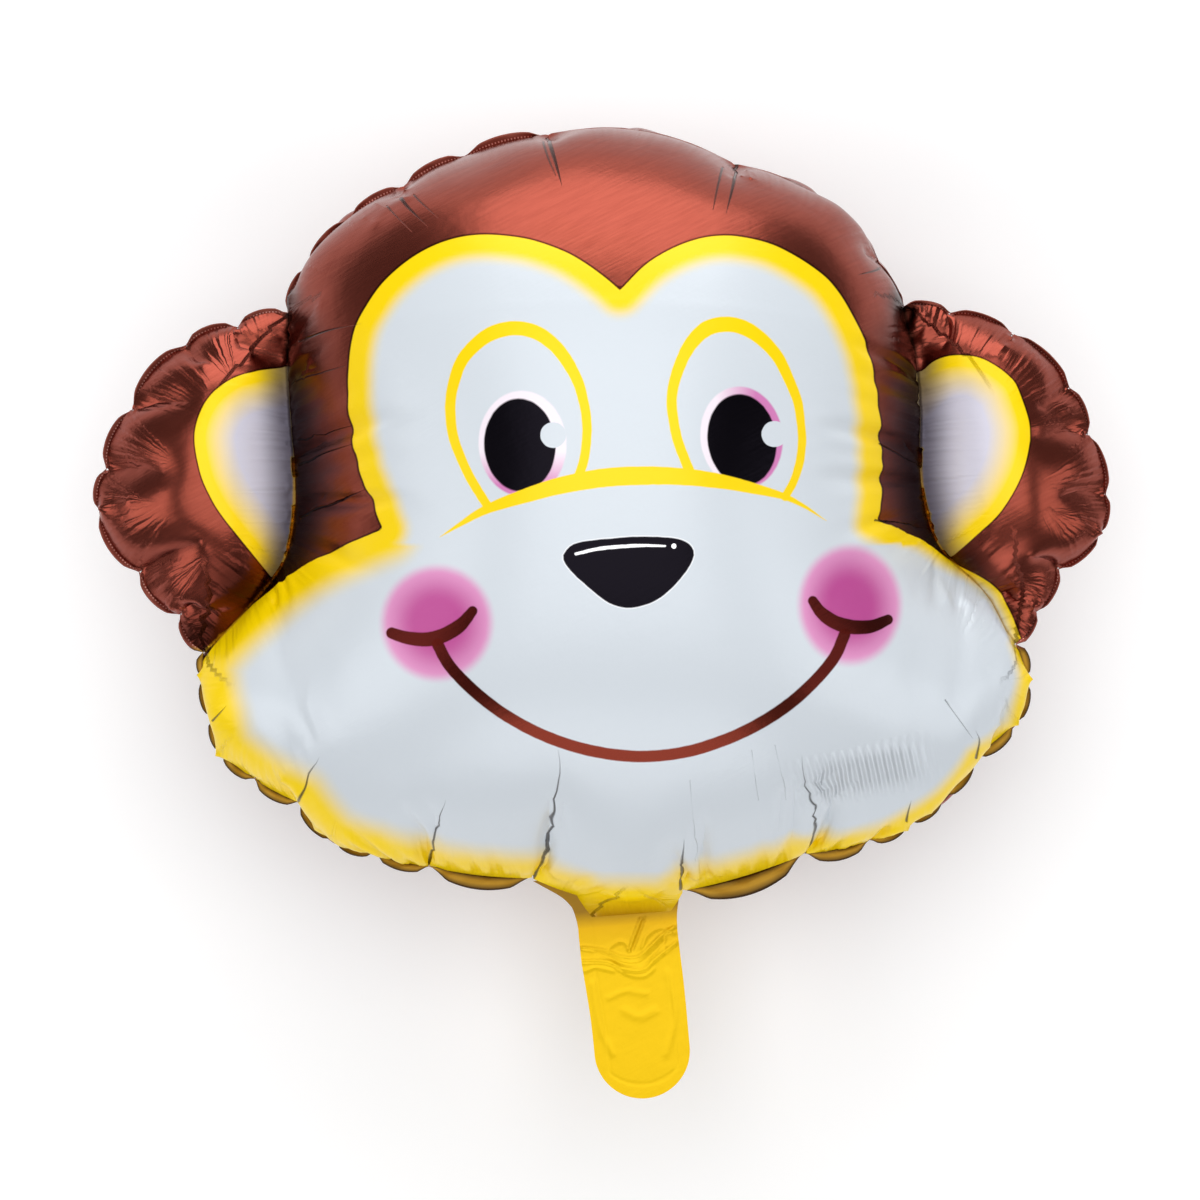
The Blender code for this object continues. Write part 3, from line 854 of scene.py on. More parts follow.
def apparent(places):
    """Where the film's points appear on the seal's plane, seen from the print's middle high above."""
    lens = np.array(VIEW_CENTRE)
    spread = VIEW_HEIGHT / (VIEW_HEIGHT - places[:, 2])
    return lens + (places[:, :2] - lens) * spread[:, None]


def printed_values(film, print_places, sizes):
    """What the print needs to know at each point of the front sheet, in millimetres."""
    points = print_places * 1000
    values = {name: stroke_values(points, *stroke) for name, stroke in STROKES.items()}
    face = patch_distance(points, face_outline(sizes.width))
    # The yellow edge is narrower along the chin and on the right jowl than on the left cheek
    chin = np.clip((-85.0 - points[:, 1]) / 65.0, 0, 1)
    rim = patch_distance(points, film.seal.places(np.linspace(0, film.seal.length, 900), folded=0.0) * 1000)
    right = np.clip((points[:, 0] - 60.0) / 90.0, 0, 1)
    far_right = np.clip((points[:, 0] - 150.0) / 60.0, 0, 1)
    solid = np.where(points[:, 1] > 40, 8.5, (10.0 - 4.0 * chin) * (1 - right) + 3.0 * right - 2.5 * far_right)
    white = np.where(points[:, 1] > 40, 19.0, (28.0 - 8.0 * chin) * (1 - right) + 13.0 * right - 4.0 * far_right)
    depth = np.where(points[:, 1] > 0, face, np.minimum(face, rim))
    values["face_edge"] = face
    values["face_white"] = 1 - fading(depth, solid, white)
    for name, outline in (("left_inner_ear", LEFT_INNER_EAR), ("right_inner_ear", RIGHT_INNER_EAR)):
        corners = np.array(outline)
        side = np.sign(corners[:, 0].mean())
        edge = patch_distance(points, np.vstack([curve_through(corners[1:-1], 6), corners[[-1, 0]]]))
        root = np.array(LEFT_EAR_SEAL if side < 0 else RIGHT_EAR_SEAL) * sizes.width * 1000
        beyond_root = side * (points[:, 0] - np.interp(points[:, 1], root[::-1, 1], root[::-1, 0]))
        values[name] = np.where(beyond_root > -0.5, edge, -30.0)
    values["nose"] = patch_distance(points, curve_through([*NOSE, NOSE[0]], 4)[:-1])
    # A crease shows as a sharp line on the nearest of the drawn lines, and each set's lines lie well apart
    for name, drawn in (("crease", DRAWN_CREASES), ("fold", DRAWN_FOLDS)):
        values[name] = np.tile([60.0, -30.0, 0.0], (len(points), 1))
        for line, half in drawn:
            found = stroke_values(points, line, [half, half - 0.2, half / 2 - 0.1, -0.25])
            near = (np.abs(found[:, 0]) < 6) & (found[:, 2] < 5)
            values[name][near] = found[near]
    return values


def tail_sheet(sizes):
    """The tail's middle surface: rows of places from its right side to its left, their heights and their depths."""
    down = np.array([math.sin(TAIL_LEAN), -math.cos(TAIL_LEAN)])
    right = turned_left(down)
    start = np.array(TAIL_START) * sizes.width
    depths, lefts, rights = np.array(TAIL_SIDES).T
    end_middle = (lefts[-1] + rights[-1]) / 2
    radius = (rights[-1] - lefts[-1]) / 2
    turn = np.linspace(1, -1, 81)
    # A row's depth bends from straight at the neck to the round end
    rows = []
    for share in np.linspace(0, 1, 141):
        depth = depths[0] + share * (depths[-1] - depths[0])
        low, high = np.interp(depth, depths, lefts), np.interp(depth, depths, rights)
        straight = (low + high) / 2 + (high - low) / 2 * turn
        bent = end_middle + radius * np.sin(turn * math.pi / 2)
        bend = share**2
        across = (1 - bend) * straight + bend * bent
        drop = radius * np.cos(turn * math.pi / 2) * share**1.5
        rows.append(np.column_stack([across, depth + drop]))
    rows = np.array(rows)
    lift = np.zeros(rows.shape[:2])
    for line, height, spread in TAIL_FOLDS:
        away, _, _ = distance_to(rows.reshape(-1, 2), curve_through(line, 6))
        lift += height * np.exp(-((away.reshape(lift.shape) / spread) ** 2))
    # A shallow pressed line runs 8.5 mm inside the tail's edge, and under the neck the sheet is flat
    across, depth = rows[..., 0], rows[..., 1]
    side = np.minimum(across - np.interp(depth, depths, lefts), np.interp(depth, depths, rights) - across)
    end = depths[-1] + np.sqrt(np.maximum(radius**2 - (across - end_middle) ** 2, 0))
    lift -= 0.15 * np.exp(-(((np.minimum(side, end - depth) - 8.5) / 0.9) ** 2))
    lift *= np.clip((depth - 14.0) / 6.0, 0, 1)
    places = start + (rows[..., :1] * right + rows[..., 1:] * down) / 1000
    return places, lift / 1000, depth


def closed_sheet(places, lift, thickness):
    """A thin closed sheet on a grid of places."""
    upper = np.dstack([places, lift + thickness / 2]).reshape(-1, 3)
    lower = np.dstack([places, lift - thickness / 2]).reshape(-1, 3)
    grid = np.arange(len(upper)).reshape(lift.shape)
    loop = np.concatenate([grid[:, 0], grid[-1, 1:], grid[-2::-1, -1], grid[0, -2:0:-1]])
    below = len(upper)
    wall = np.column_stack([loop, np.roll(loop, -1), np.roll(loop, -1) + below, loop + below])
    faces = np.vstack([quads_of(grid), quads_of(grid)[:, ::-1] + below, wall])
    return np.vstack([upper, lower]), faces, (loop, loop + below)


def closed_film(film, front, back, sizes):
    """Joins both sheets into one closed mesh. Returns its points, its faces, and each face's finish."""
    half = sizes.thickness / 2
    rim = np.flatnonzero(~np.isnan(film.travel))
    upper = rim[np.argsort(film.travel[rim])]
    count = len(film.cut)
    points = np.vstack([front + [0, 0, half], back * [1, 1, -1] - [0, 0, half]])
    lower = upper + count
    wall = np.column_stack([upper, np.roll(upper, -1), np.roll(lower, -1), lower])
    sheets = [film.triangles, film.triangles[:, ::-1] + count]
    faces = [*sheets[0].tolist(), *sheets[1].tolist(), *wall.tolist()]
    finish = np.repeat([0, 1, 1], [len(sheets[0]), len(sheets[1]), len(wall)])
    return points, faces, finish, (upper, lower)


def quads_of(grid):
    """The faces of a grid of point numbers whose columns run right to left and rows down, facing up."""
    corners = (grid[:-1, :-1], grid[:-1, 1:], grid[1:, 1:], grid[1:, :-1])
    return np.column_stack([corner.ravel() for corner in corners])


def settled_on_floor(back, height):
    """The back sheet pressed flat where it rests, with a soft bend round the flat."""
    depth = back[:, 2]
    bend = 0.004
    over = np.clip((depth - (height - bend)) / bend, 0, None)
    eased = height - bend + bend * np.where(over < 2, over - over**2 / 4, 1.0)
    back = back.copy()
    back[:, 2] = np.where(depth > height - bend, eased, depth)
    return back


def object_from(name, points, faces, materials, finish=None):
    """A smooth-shaded mesh object, whose faces each wear the first material unless finish says which."""
    mesh = bpy.data.meshes.new(name)
    mesh.from_pydata(points, [], faces)
    mesh.polygons.foreach_set("use_smooth", np.full(len(mesh.polygons), True))
    for material in materials:
        mesh.materials.append(material)
    if finish is not None:
        mesh.polygons.foreach_set("material_index", finish)
    mesh.update()
    made = bpy.data.objects.new(name, mesh)
    bpy.context.scene.collection.objects.link(made)
    return made


def give_attribute(mesh, name, values):
    """Stores one number or one vector for each point."""
    kind = "FLOAT" if values.ndim == 1 else "FLOAT_VECTOR"
    attribute = mesh.attributes.new(name, kind, "POINT")
    attribute.data.foreach_set("value" if values.ndim == 1 else "vector", values.astype(np.float32).ravel())


def give_uv(mesh, name, places):
    corners = np.empty(len(mesh.loops), np.int32)
    mesh.loops.foreach_get("vertex_index", corners)
    layer = mesh.uv_layers.new(name=name)
    layer.data.foreach_set("uv", places[corners].astype(np.float32).ravel())


def sharpen(mesh, loops, lines=()):
    """Marks the edges along closed loops and along open lines of points as sharp, such as rims and creases."""
    ends = np.empty(2 * len(mesh.edges), np.int32)
    mesh.edges.foreach_get("vertices", ends)
    ends = np.sort(ends.reshape(-1, 2), axis=1)
    wanted = [np.column_stack([loop, np.roll(loop, -1)]) for loop in loops]
    wanted += [np.column_stack([line[:-1], line[1:]]) for line in lines]
    wanted = np.sort(np.vstack(wanted), axis=1)
    size = len(mesh.vertices)
    sharp = np.isin(ends[:, 0] * size + ends[:, 1], wanted[:, 0] * size + wanted[:, 1])
    attribute = mesh.attributes.new("sharp_edge", "BOOLEAN", "EDGE")
    attribute.data.foreach_set("value", sharp)


def fed(tree, node, inputs):
    """The node, with its inputs set: each to a plain value, an output, or another node's first output."""
    for name, value in inputs.items():
        if isinstance(value, bpy.types.Node):
            value = value.outputs[0]
        if isinstance(value, bpy.types.NodeSocket):
            tree.links.new(value, node.inputs[name])
        else:
            node.inputs[name].default_value = value
    return node


def add_node(tree, kind, inputs=None, **settings):
    """Adds a node with its settings and its inputs."""
    made = tree.nodes.new(kind)
    for name, value in settings.items():
        setattr(made, name, value)
    return fed(tree, made, inputs or {})


def new_finish(name, **constants):
    """A material and its surface shader, with the constants set on the shader's own sockets."""
    material = bpy.data.materials.new(name)
    material.use_nodes = True
    shader = material.node_tree.nodes["Principled BSDF"]
    for socket, value in constants.items():
        shader.inputs[socket.replace("_", " ")].default_value = value
    return material, material.node_tree, shader


def edge_mask(tree, name, start, end):
    """How far a stored distance is from one value to another, from 0 to 1."""
    stored = add_node(tree, "ShaderNodeAttribute", attribute_name=name).outputs["Fac"]
    return add_node(tree, "ShaderNodeMapRange", {"Value": stored, "From Min": start, "From Max": end})


def stroke_mask(tree, name, blur=0.35):
    """1 on a printed stroke, whose ends are round, and 0 off it."""
    stored = add_node(tree, "ShaderNodeAttribute", attribute_name=name).outputs["Vector"]
    parts = add_node(tree, "ShaderNodeSeparateXYZ", {"Vector": stored})
    beyond = add_node(tree, "ShaderNodeMath", {0: parts.outputs["Z"], 1: 0.0}, operation="MAXIMUM")
    away = add_node(tree, "ShaderNodeCombineXYZ", {"X": parts, "Y": beyond})
    away = add_node(tree, "ShaderNodeVectorMath", {0: away}, operation="LENGTH").outputs["Value"]
    inside_by = add_node(tree, "ShaderNodeMath", {0: parts.outputs["Y"], 1: away}, operation="SUBTRACT")
    return add_node(tree, "ShaderNodeMapRange", {"Value": inside_by, "From Min": -blur, "From Max": blur})


def round_distance(tree, print_uv, name):
    """How far a place is from a printed round's middle: 1 on its edge."""
    middle, half_width, half_height, lean = ROUNDS[name]
    inputs = {
        "Vector": print_uv,
        "Location": (middle[0] / 1000, middle[1] / 1000, 0.0),
        "Rotation": (0.0, 0.0, math.radians(lean)),
        "Scale": (half_width / 1000, half_height / 1000, 1.0),
    }
    turned = add_node(tree, "ShaderNodeMapping", inputs, vector_type="TEXTURE")
    return add_node(tree, "ShaderNodeVectorMath", {0: turned}, operation="LENGTH").outputs["Value"]


def round_mask(tree, print_uv, name, blur=0.02):
    """1 on a printed round and 0 off it."""
    ramp = {"Value": round_distance(tree, print_uv, name), "From Min": 1 + blur, "From Max": 1 - blur}
    return add_node(tree, "ShaderNodeMapRange", ramp)


def layered(tree, ground, layers):
    """A colour with others laid over it in turn, each where its mask is 1."""
    for colour, mask in layers:
        # In a colour mix, inputs 6 and 7 are the two colours, and output 2 is theirs
        mix = {"Factor": mask, 6: ground, 7: colour}
        ground = add_node(tree, "ShaderNodeMix", mix, data_type="RGBA").outputs[2]
    return ground


def waves(tree, place, spacing):
    """A sine wave along a place in metres."""
    turn = add_node(tree, "ShaderNodeMath", {0: place, 1: 2 * math.pi / spacing}, operation="MULTIPLY")
    return add_node(tree, "ShaderNodeMath", {0: turn}, operation="SINE")


def film_relief(tree, rim_uv=None):
    """The film's finest relief: soft crumples all over, rolling marks on the slant and, by the seal, its pleats."""
    place = add_node(tree, "ShaderNodeTexCoord").outputs["Object"]
    # Crumples about 14 mm apart
    crumple = {"Vector": place, "Scale": 70.0, "Detail": 3.0, "Roughness": 0.55}
    crumple = add_node(tree, "ShaderNodeTexNoise", crumple)
    # The real rolling marks are about 0.2 mm apart: they are drawn 1.5 mm apart so that they show at all
    slant = {"Vector": place, "Rotation": (0.0, 0.0, math.radians(28)), "Scale": (0.02, 0.0015, 0.02)}
    slanted = add_node(tree, "ShaderNodeMapping", slant, vector_type="TEXTURE")
    marks = {"Vector": slanted, "Scale": 1.0, "Detail": 2.0, "Roughness": 0.6}
    marks = add_node(tree, "ShaderNodeTexNoise", marks)
    reliefs = [(crumple, 0.16, 0.0012), (marks, 0.22, 0.0003)]
    if rim_uv is not None:
        # Pleats about 5 mm apart, which run in from the seal and die out within 42 mm
        away = add_node(tree, "ShaderNodeSeparateXYZ", {"Vector": rim_uv}).outputs["Y"]
        stretched = add_node(tree, "ShaderNodeMapping", {"Vector": rim_uv, "Scale": (210.0, 9.0, 1.0)})
        pleats = {"Vector": stretched, "Scale": 1.0, "Detail": 1.0}
        pleats = add_node(tree, "ShaderNodeTexNoise", pleats, noise_dimensions="2D")
        fade = add_node(tree, "ShaderNodeMapRange", {"Value": away, "From Min": 0.042, "From Max": 0.002})
        height = add_node(tree, "ShaderNodeMath", {0: pleats, 1: fade}, operation="MULTIPLY")
        reliefs.append((height, 0.85, 0.0022))
    below = {}
    for height, strength, distance in reliefs:
        bump = {"Height": height, "Strength": strength, "Distance": distance, **below}
        below = {"Normal": add_node(tree, "ShaderNodeBump", bump)}
    return marks, below["Normal"]


def face_print(tree, print_uv, inks):
    """The printed face's colour, with the masks of the inks that show bare metal and of what is laid over them."""
    parts = add_node(tree, "ShaderNodeSeparateXYZ", {"Vector": print_uv})
    face_white, below = (
        add_node(tree, "ShaderNodeAttribute", attribute_name=name).outputs["Fac"]
        for name in ("face_white", "below_muzzle_line")
    )
    layers = [(inks["white"], face_white)]
    pupils, covers = [], []
    # The pupils are ringed with bare foil, pinkish to one side
    for side, axis, start, end in (("left", "Y", 0.095, 0.075), ("right", "X", 0.066, 0.090)):
        ramp = {"Value": parts.outputs[axis], "From Min": start, "From Max": end}
        pink = add_node(tree, "ShaderNodeMapRange", ramp)
        pupils.append(round_mask(tree, print_uv, side + "_pupil"))
        covers.append(round_mask(tree, print_uv, side + "_glint", 0.03))
        tint = layered(tree, linear("#F3E8F1"), [(linear("#D07CB6"), pink)])
        halo = round_mask(tree, print_uv, side + "_pupil_halo")
        layers += [(tint, halo), (inks["black"], pupils[-1]), (inks["white"], covers[-1])]
    layers.append((inks["white"], below))
    for name in ("left_cheek", "right_cheek"):
        for colour, rim, full in ((linear("#DF98C6"), 1.04, 0.82), (inks["pink"], 1.00, 0.36)):
            ramp = {"Value": round_distance(tree, print_uv, name), "From Min": rim, "From Max": full}
            soft = add_node(tree, "ShaderNodeMapRange", ramp, interpolation_type="SMOOTHSTEP")
            layers.append((colour, soft))
    for name in ("left_eye_ring", "right_eye_ring", "muzzle_line"):
        layers.append((inks["yellow"], stroke_mask(tree, name)))
    covers += [layers[-1][1], below]
    # The face turns yellow towards the neck, and painted shade makes it dark gold at its seal; the smile is redder in
    # its middle
    low, lower, neck_seal_shade = (
        add_node(tree, "ShaderNodeMapRange", {"Value": parts.outputs["Y"], "From Min": start, "From Max": end})
        for start, end in ((-0.035, -0.066), (-0.153, -0.165), (-0.168, -0.182))
    )
    layers += [(inks["yellow"], lower), (linear("#A87200"), neck_seal_shade)]
    smile = layered(tree, inks["maroon"], [(linear("#6E2C20"), low)])
    strokes = [stroke_mask(tree, name) for name in ("smile", "left_cheek_mark", "right_cheek_mark")]
    layers += [(smile, stroke) for stroke in strokes]
    nose = edge_mask(tree, "nose", -0.3, 0.3)
    layers += [
        (linear("#F2F4F7"), edge_mask(tree, "nose", -0.9, -0.3)),
        (inks["black"], nose),
        (linear("#F4F4F6"), stroke_mask(tree, "nose_shine", 0.3)),
        (linear("#F4F4F6"), round_mask(tree, print_uv, "nose_glint", 0.1)),
    ]
    return layered(tree, inks["yellow"], layers), pupils, covers, [nose, *strokes]


def cheek_pleats(tree, print_uv):
    """A row of fine pleats in the right cheek, 5.3 mm apart and 25 mm long; elsewhere the gas pulls them straight."""
    turned = {"Vector": print_uv, "Location": (0.154, -0.095, 0.0), "Rotation": (0.0, 0.0, math.radians(12))}
    turned = add_node(tree, "ShaderNodeMapping", turned, vector_type="TEXTURE")
    parts = add_node(tree, "ShaderNodeSeparateXYZ", {"Vector": turned})
    pleats = waves(tree, parts, 0.0053)
    for axis, full, gone in (("X", 0.022, 0.048), ("Y", 0.006, 0.017)):
        away = add_node(tree, "ShaderNodeMath", {0: parts.outputs[axis]}, operation="ABSOLUTE")
        near = add_node(tree, "ShaderNodeMapRange", {"Value": away, "From Min": gone, "From Max": full})
        pleats = add_node(tree, "ShaderNodeMath", {0: pleats, 1: near}, operation="MULTIPLY")
    return add_node(tree, "ShaderNodeMath", {0: pleats, 1: 1.1}, operation="MULTIPLY")


def printed_front(colours):
    """Gravure-printed metallised nylon film: clear inks over opaque white on the face, and over bare metal elsewhere.

    The face is glossy plastic, while the brown mirrors the room, darkly and a little blurred by rolling marks.
    """
    material, tree, shader = new_finish("gravure_printed_nylon_foil", IOR=1.34)
    inks = {name: tuple(getattr(colours, name)) for name in PrintColours.__annotations__}
    print_uv, rim_uv = (add_node(tree, "ShaderNodeUVMap", uv_map=name) for name in ("print", "rim"))
    marks, normal = film_relief(tree, rim_uv)
    face = edge_mask(tree, "face_edge", -0.3, 0.3)
    face_colour, pupils, covers, darks = face_print(tree, print_uv, inks)
    ears, ear_masks = [], []
    # Painted shade darkens the inner ears towards their seals
    shade = edge_mask(tree, "ear_shade", 0.0, 1.3)
    for name in ("left_inner_ear", "right_inner_ear"):
        lilac = (linear("#CFCDDC"), edge_mask(tree, name, 6.0, 24.0))
        inner = layered(tree, inks["yellow"], [lilac, (linear("#4C4458"), shade)])
        ear_masks.append(edge_mask(tree, name, -0.3, 0.3))
        ears += [(linear("#4A2018"), edge_mask(tree, name, -1.2, -0.5)), (inner, ear_masks[-1])]
    # Painted shade: the crown's film is darkened where it dips to the seals at the ears' roots, and the ears' film in
    # its corners
    painted_root_shade = add_node(tree, "ShaderNodeAttribute", attribute_name="root_shade").outputs["Fac"]
    brown = layered(tree, inks["brown"], [(linear("#7C382D"), marks), (linear("#2E110B"), painted_root_shade)])
    # The seal across an ear's root is painted dark by the crown, as shade in its fold, and golden by the jowl, as the
    # ears' yellow print
    up = add_node(tree, "ShaderNodeSeparateXYZ", {"Vector": print_uv}).outputs["Y"]
    golden = add_node(tree, "ShaderNodeMapRange", {"Value": up, "From Min": 0.095, "From Max": 0.075})
    seam_colour = layered(tree, linear("#24120C"), [(linear("#B8901E"), golden)])
    seam = add_node(tree, "ShaderNodeMath", {0: edge_mask(tree, "seam", 1.5, 0.5), 1: 0.75}, operation="MULTIPLY")
    # Painted shade: a dark line along each drawn crease and fold, which the bump below also presses in
    lines = {0: stroke_mask(tree, "crease"), 1: stroke_mask(tree, "fold", 0.45)}
    lines = add_node(tree, "ShaderNodeMath", lines, operation="MAXIMUM")
    shadow = add_node(tree, "ShaderNodeMath", {0: lines, 1: 0.85}, operation="MULTIPLY")
    outline = (linear("#4A2018"), edge_mask(tree, "face_edge", -1.5, -0.7))
    layers = [outline, (face_colour, face), *ears, (seam_colour, seam), (linear("#1B1210"), shadow)]
    colour = layered(tree, brown, layers)
    relief = {0: cheek_pleats(tree, print_uv), 1: lines}
    relief = add_node(tree, "ShaderNodeMath", relief, operation="SUBTRACT")
    bump = {"Strength": 0.8, "Distance": 0.0012, "Height": relief, "Normal": normal}
    normal = add_node(tree, "ShaderNodeBump", bump)
    # The dark inks are clear, over bare metal: they gleam without going grey
    printed = face
    for opaque, masks in ((True, ear_masks), (False, pupils), (True, covers), (False, darks)):
        for mask in masks:
            if not opaque:
                mask = add_node(tree, "ShaderNodeMath", {0: mask, 1: 0.9}, operation="MULTIPLY")
            operation = "MAXIMUM" if opaque else "SUBTRACT"
            printed = add_node(tree, "ShaderNodeMath", {0: printed, 1: mask}, operation=operation, use_clamp=True)
    metal = add_node(tree, "ShaderNodeMapRange", {"Value": printed, "To Min": 1.0, "To Max": 0.06})
    rough = add_node(tree, "ShaderNodeMapRange", {"Value": printed, "To Min": 0.27, "To Max": 0.30})
    fed(tree, shader, {"Base Color": colour, "Metallic": metal, "Roughness": rough, "Normal": normal})
    return material


def bare_back(colours):
    """The same metallised nylon film, flooded with one brown ink: a dark, slightly blurred mirror."""
    material, tree, shader = new_finish(
        "flood_printed_nylon_foil", Metallic=1.0, Roughness=0.27, Coat_Weight=0.25, Coat_Roughness=0.12
    )
    marks, normal = film_relief(tree)
    brown = layered(tree, tuple(colours.brown), [(linear("#7C382D"), marks)])
    fed(tree, shader, {"Base Color": brown, "Normal": normal})
    return material


def printed_tail():
    """Metallised nylon film under transparent yellow ink, lying flat: satin, and creased by the neck, where painted
    shade makes it darker gold.
    """
    material, tree, shader = new_finish("yellow_printed_nylon_foil", Metallic=0.35, Roughness=0.34, IOR=1.3)
    _, normal = film_relief(tree)
    shadowed = edge_mask(tree, "tail_depth", 44.0, 20.0)
    shade_under_neck = edge_mask(tree, "tail_depth", 22.0, 12.0)
    gold = layered(tree, linear("#EFC300"), [(linear("#DBAA00"), shadowed), (linear("#8F6A12"), shade_under_neck)])
    fed(tree, shader, {"Base Color": gold, "Normal": normal})
    return material


def sealed_edge():
    """Both sheets of film fused by a hot bar: a thin, stiff, crimped strip that is darker than the rest."""
    material, tree, shader = new_finish("heat_sealed_nylon_foil", Metallic=0.8, Roughness=0.33)
    _, normal = film_relief(tree)
    place = add_node(tree, "ShaderNodeTexCoord").outputs["Object"]
    up = add_node(tree, "ShaderNodeSeparateXYZ", {"Vector": place}).outputs["Y"]
    jowl = add_node(tree, "ShaderNodeMapRange", {"Value": up, "From Min": -0.0190, "From Max": -0.0225})
    # The bar leaves a row of dots 2 mm apart along the brown margin; the yellow one's edges are darkened with painted
    # shade
    across, along = (
        add_node(tree, "ShaderNodeAttribute", attribute_name=name).outputs["Fac"] for name in ("across", "along")
    )
    row = add_node(tree, "ShaderNodeMath", {0: across, 1: 0.62, 2: 0.09}, operation="COMPARE")
    dots = add_node(tree, "ShaderNodeMath", {0: waves(tree, along, 0.002), 1: row}, operation="MULTIPLY")
    dots = add_node(tree, "ShaderNodeMapRange", {"Value": dots, "From Min": 0.1, "From Max": 0.5})
    brown = layered(tree, linear("#7A3C30"), [(linear("#D09488"), dots)])
    off = add_node(tree, "ShaderNodeMath", {0: across, 1: 0.5}, operation="SUBTRACT")
    off = add_node(tree, "ShaderNodeMath", {0: off}, operation="ABSOLUTE")
    edge = add_node(tree, "ShaderNodeMapRange", {"Value": off, "From Min": 0.08, "From Max": 0.46})
    gold = layered(tree, linear("#9A7420"), [(linear("#33200C"), edge)])
    fed(tree, shader, {"Base Color": layered(tree, brown, [(gold, jowl)]), "Normal": normal})
    return material


def pale_floor(colour):
    """Seamless background paper, uncoated: matt, with nothing to see in it but a very faint mottle."""
    material, tree, shader = new_finish(
        "uncoated_background_paper", Roughness=0.9, Specular_IOR_Level=0.2, Emission_Color=linear("#FFFFFF"),
        Emission_Strength=0.1,
    )
    place = add_node(tree, "ShaderNodeTexCoord").outputs["Object"]
    mottle = add_node(tree, "ShaderNodeTexNoise", {"Vector": place, "Scale": 3.0, "Detail": 2.0})
    paper = layered(tree, tuple(colour), [(linear("#F7F7F8"), mottle)])
    fed(tree, shader, {"Base Color": paper})
    return material


def margin_path(seal, sizes):
    """The middle line of the sealed margin with its half width and tilt at each point.

    The margin fills each scallop from the film out to the solid's edge, and all but vanishes at the pinches.
    """
    points, halves, tilts = [], [], []
    count = len(seal.arcs)
    for index in range(2, count - 2):
        inner = seal.arc(index, seal.pinches, seal.film_bows)
        outer = seal.arc(index, seal.solid_pinches, seal.margin_bows)
        steps = max(6, round(inner[5] / MARGIN_STEP))
        share = np.linspace(0, 1, steps, endpoint=False)
        lines = []
        for (middle, along, outwards, radius, half_angle, _), out in ((inner, -0.0007), (outer, sizes.margin)):
            angle = half_angle * (2 * share - 1)
            lines.append(middle + (radius + out) * (np.sin(angle)[:, None] * along + np.cos(angle)[:, None] * outwards))
        width = ((lines[1] - lines[0]) @ inner[2]).clip(0.0008)
        taper = np.clip(np.sin(math.pi * share) * 1.7, 0.12, 1) ** 0.8
        half = width * taper / 2
        points.append(lines[0] + half[:, None] * inner[2])
        halves.append(half)
        following = seal.tilts[(index + 1) % count]
        tilts.append(seal.tilts[index] + (following - seal.tilts[index]) * np.clip(share * 4 - 3, 0, 1))
    points = np.vstack(points)
    along = np.concatenate([[0], np.cumsum(np.linalg.norm(np.diff(points, axis=0), axis=1))])
    return points, np.concatenate(halves), np.radians(np.concatenate(tilts)), along


def margin_tree(material):
    """Geometry nodes that sweep a thin strip along the seal, hang it by its inner edge and ripple it."""
    tree = bpy.data.node_groups.new("sealed_margin_nodes", "GeometryNodeTree")
    tree.interface.new_socket("Path", in_out="INPUT", socket_type="NodeSocketGeometry")
    sockets = {}
    for name, kind in (("Thickness", "Float"), ("Ripple", "Float"), ("Seed", "Int")):
        socket = tree.interface.new_socket(name, in_out="INPUT", socket_type="NodeSocket" + kind)
        sockets[name] = socket.identifier
    tree.interface.new_socket("Strip", in_out="OUTPUT", socket_type="NodeSocketGeometry")
    given = add_node(tree, "NodeGroupInput")
    thickness, ripple, seed = (given.outputs[name] for name in sockets)
    half, tilt = (
        add_node(tree, "GeometryNodeInputNamedAttribute", {"Name": name}, data_type="FLOAT").outputs["Attribute"]
        for name in ("half_width", "hang")
    )
    path = add_node(tree, "GeometryNodeMeshToCurve", {"Mesh": given})
    path = add_node(tree, "GeometryNodeSetCurveNormal", {"Curve": path}, mode="Z_UP")
    path = add_node(tree, "GeometryNodeSetCurveTilt", {"Curve": path, "Tilt": tilt})
    profile = add_node(tree, "GeometryNodeCurvePrimitiveLine", {"Start": (-1.0, 0.0, 0.0), "End": (1.0, 0.0, 0.0)})
    profile = add_node(tree, "GeometryNodeResampleCurve", {"Curve": profile, "Count": 7})
    across = {"Geometry": profile, "Name": "across", "Value": add_node(tree, "GeometryNodeSplineParameter")}
    profile = add_node(tree, "GeometryNodeStoreNamedAttribute", across, data_type="FLOAT")
    ribbon = add_node(tree, "GeometryNodeCurveToMesh", {"Curve": path, "Profile Curve": profile, "Scale": half})
    # Ripples about 11 mm apart
    noise = {"Vector": add_node(tree, "GeometryNodeInputPosition"), "W": seed, "Scale": 95.0, "Detail": 1.0}
    noise = add_node(tree, "ShaderNodeTexNoise", noise, noise_dimensions="4D")
    centred = add_node(tree, "ShaderNodeMath", {0: noise, 1: 0.5}, operation="SUBTRACT")
    rise = add_node(tree, "ShaderNodeMath", {0: centred, 1: ripple}, operation="MULTIPLY")
    shift = add_node(tree, "ShaderNodeCombineXYZ", {"Z": rise})
    rippled = add_node(tree, "GeometryNodeSetPosition", {"Geometry": ribbon, "Offset": shift})
    raised = {"Mesh": rippled, "Offset Scale": thickness, "Individual": False}
    raised = add_node(tree, "GeometryNodeExtrudeMesh", raised)
    under = add_node(tree, "GeometryNodeFlipFaces", {"Mesh": rippled})
    both = add_node(tree, "GeometryNodeJoinGeometry", {"Geometry": raised})
    fed(tree, both, {0: under})
    whole = add_node(tree, "GeometryNodeMergeByDistance", {"Geometry": both, "Distance": 0.00002})
    real = add_node(tree, "GeometryNodeRealizeInstances", {"Geometry": whole})
    finished = add_node(tree, "GeometryNodeSetMaterial", {"Geometry": real, "Material": material})
    add_node(tree, "NodeGroupOutput", {"Strip": finished})
    return tree, sockets


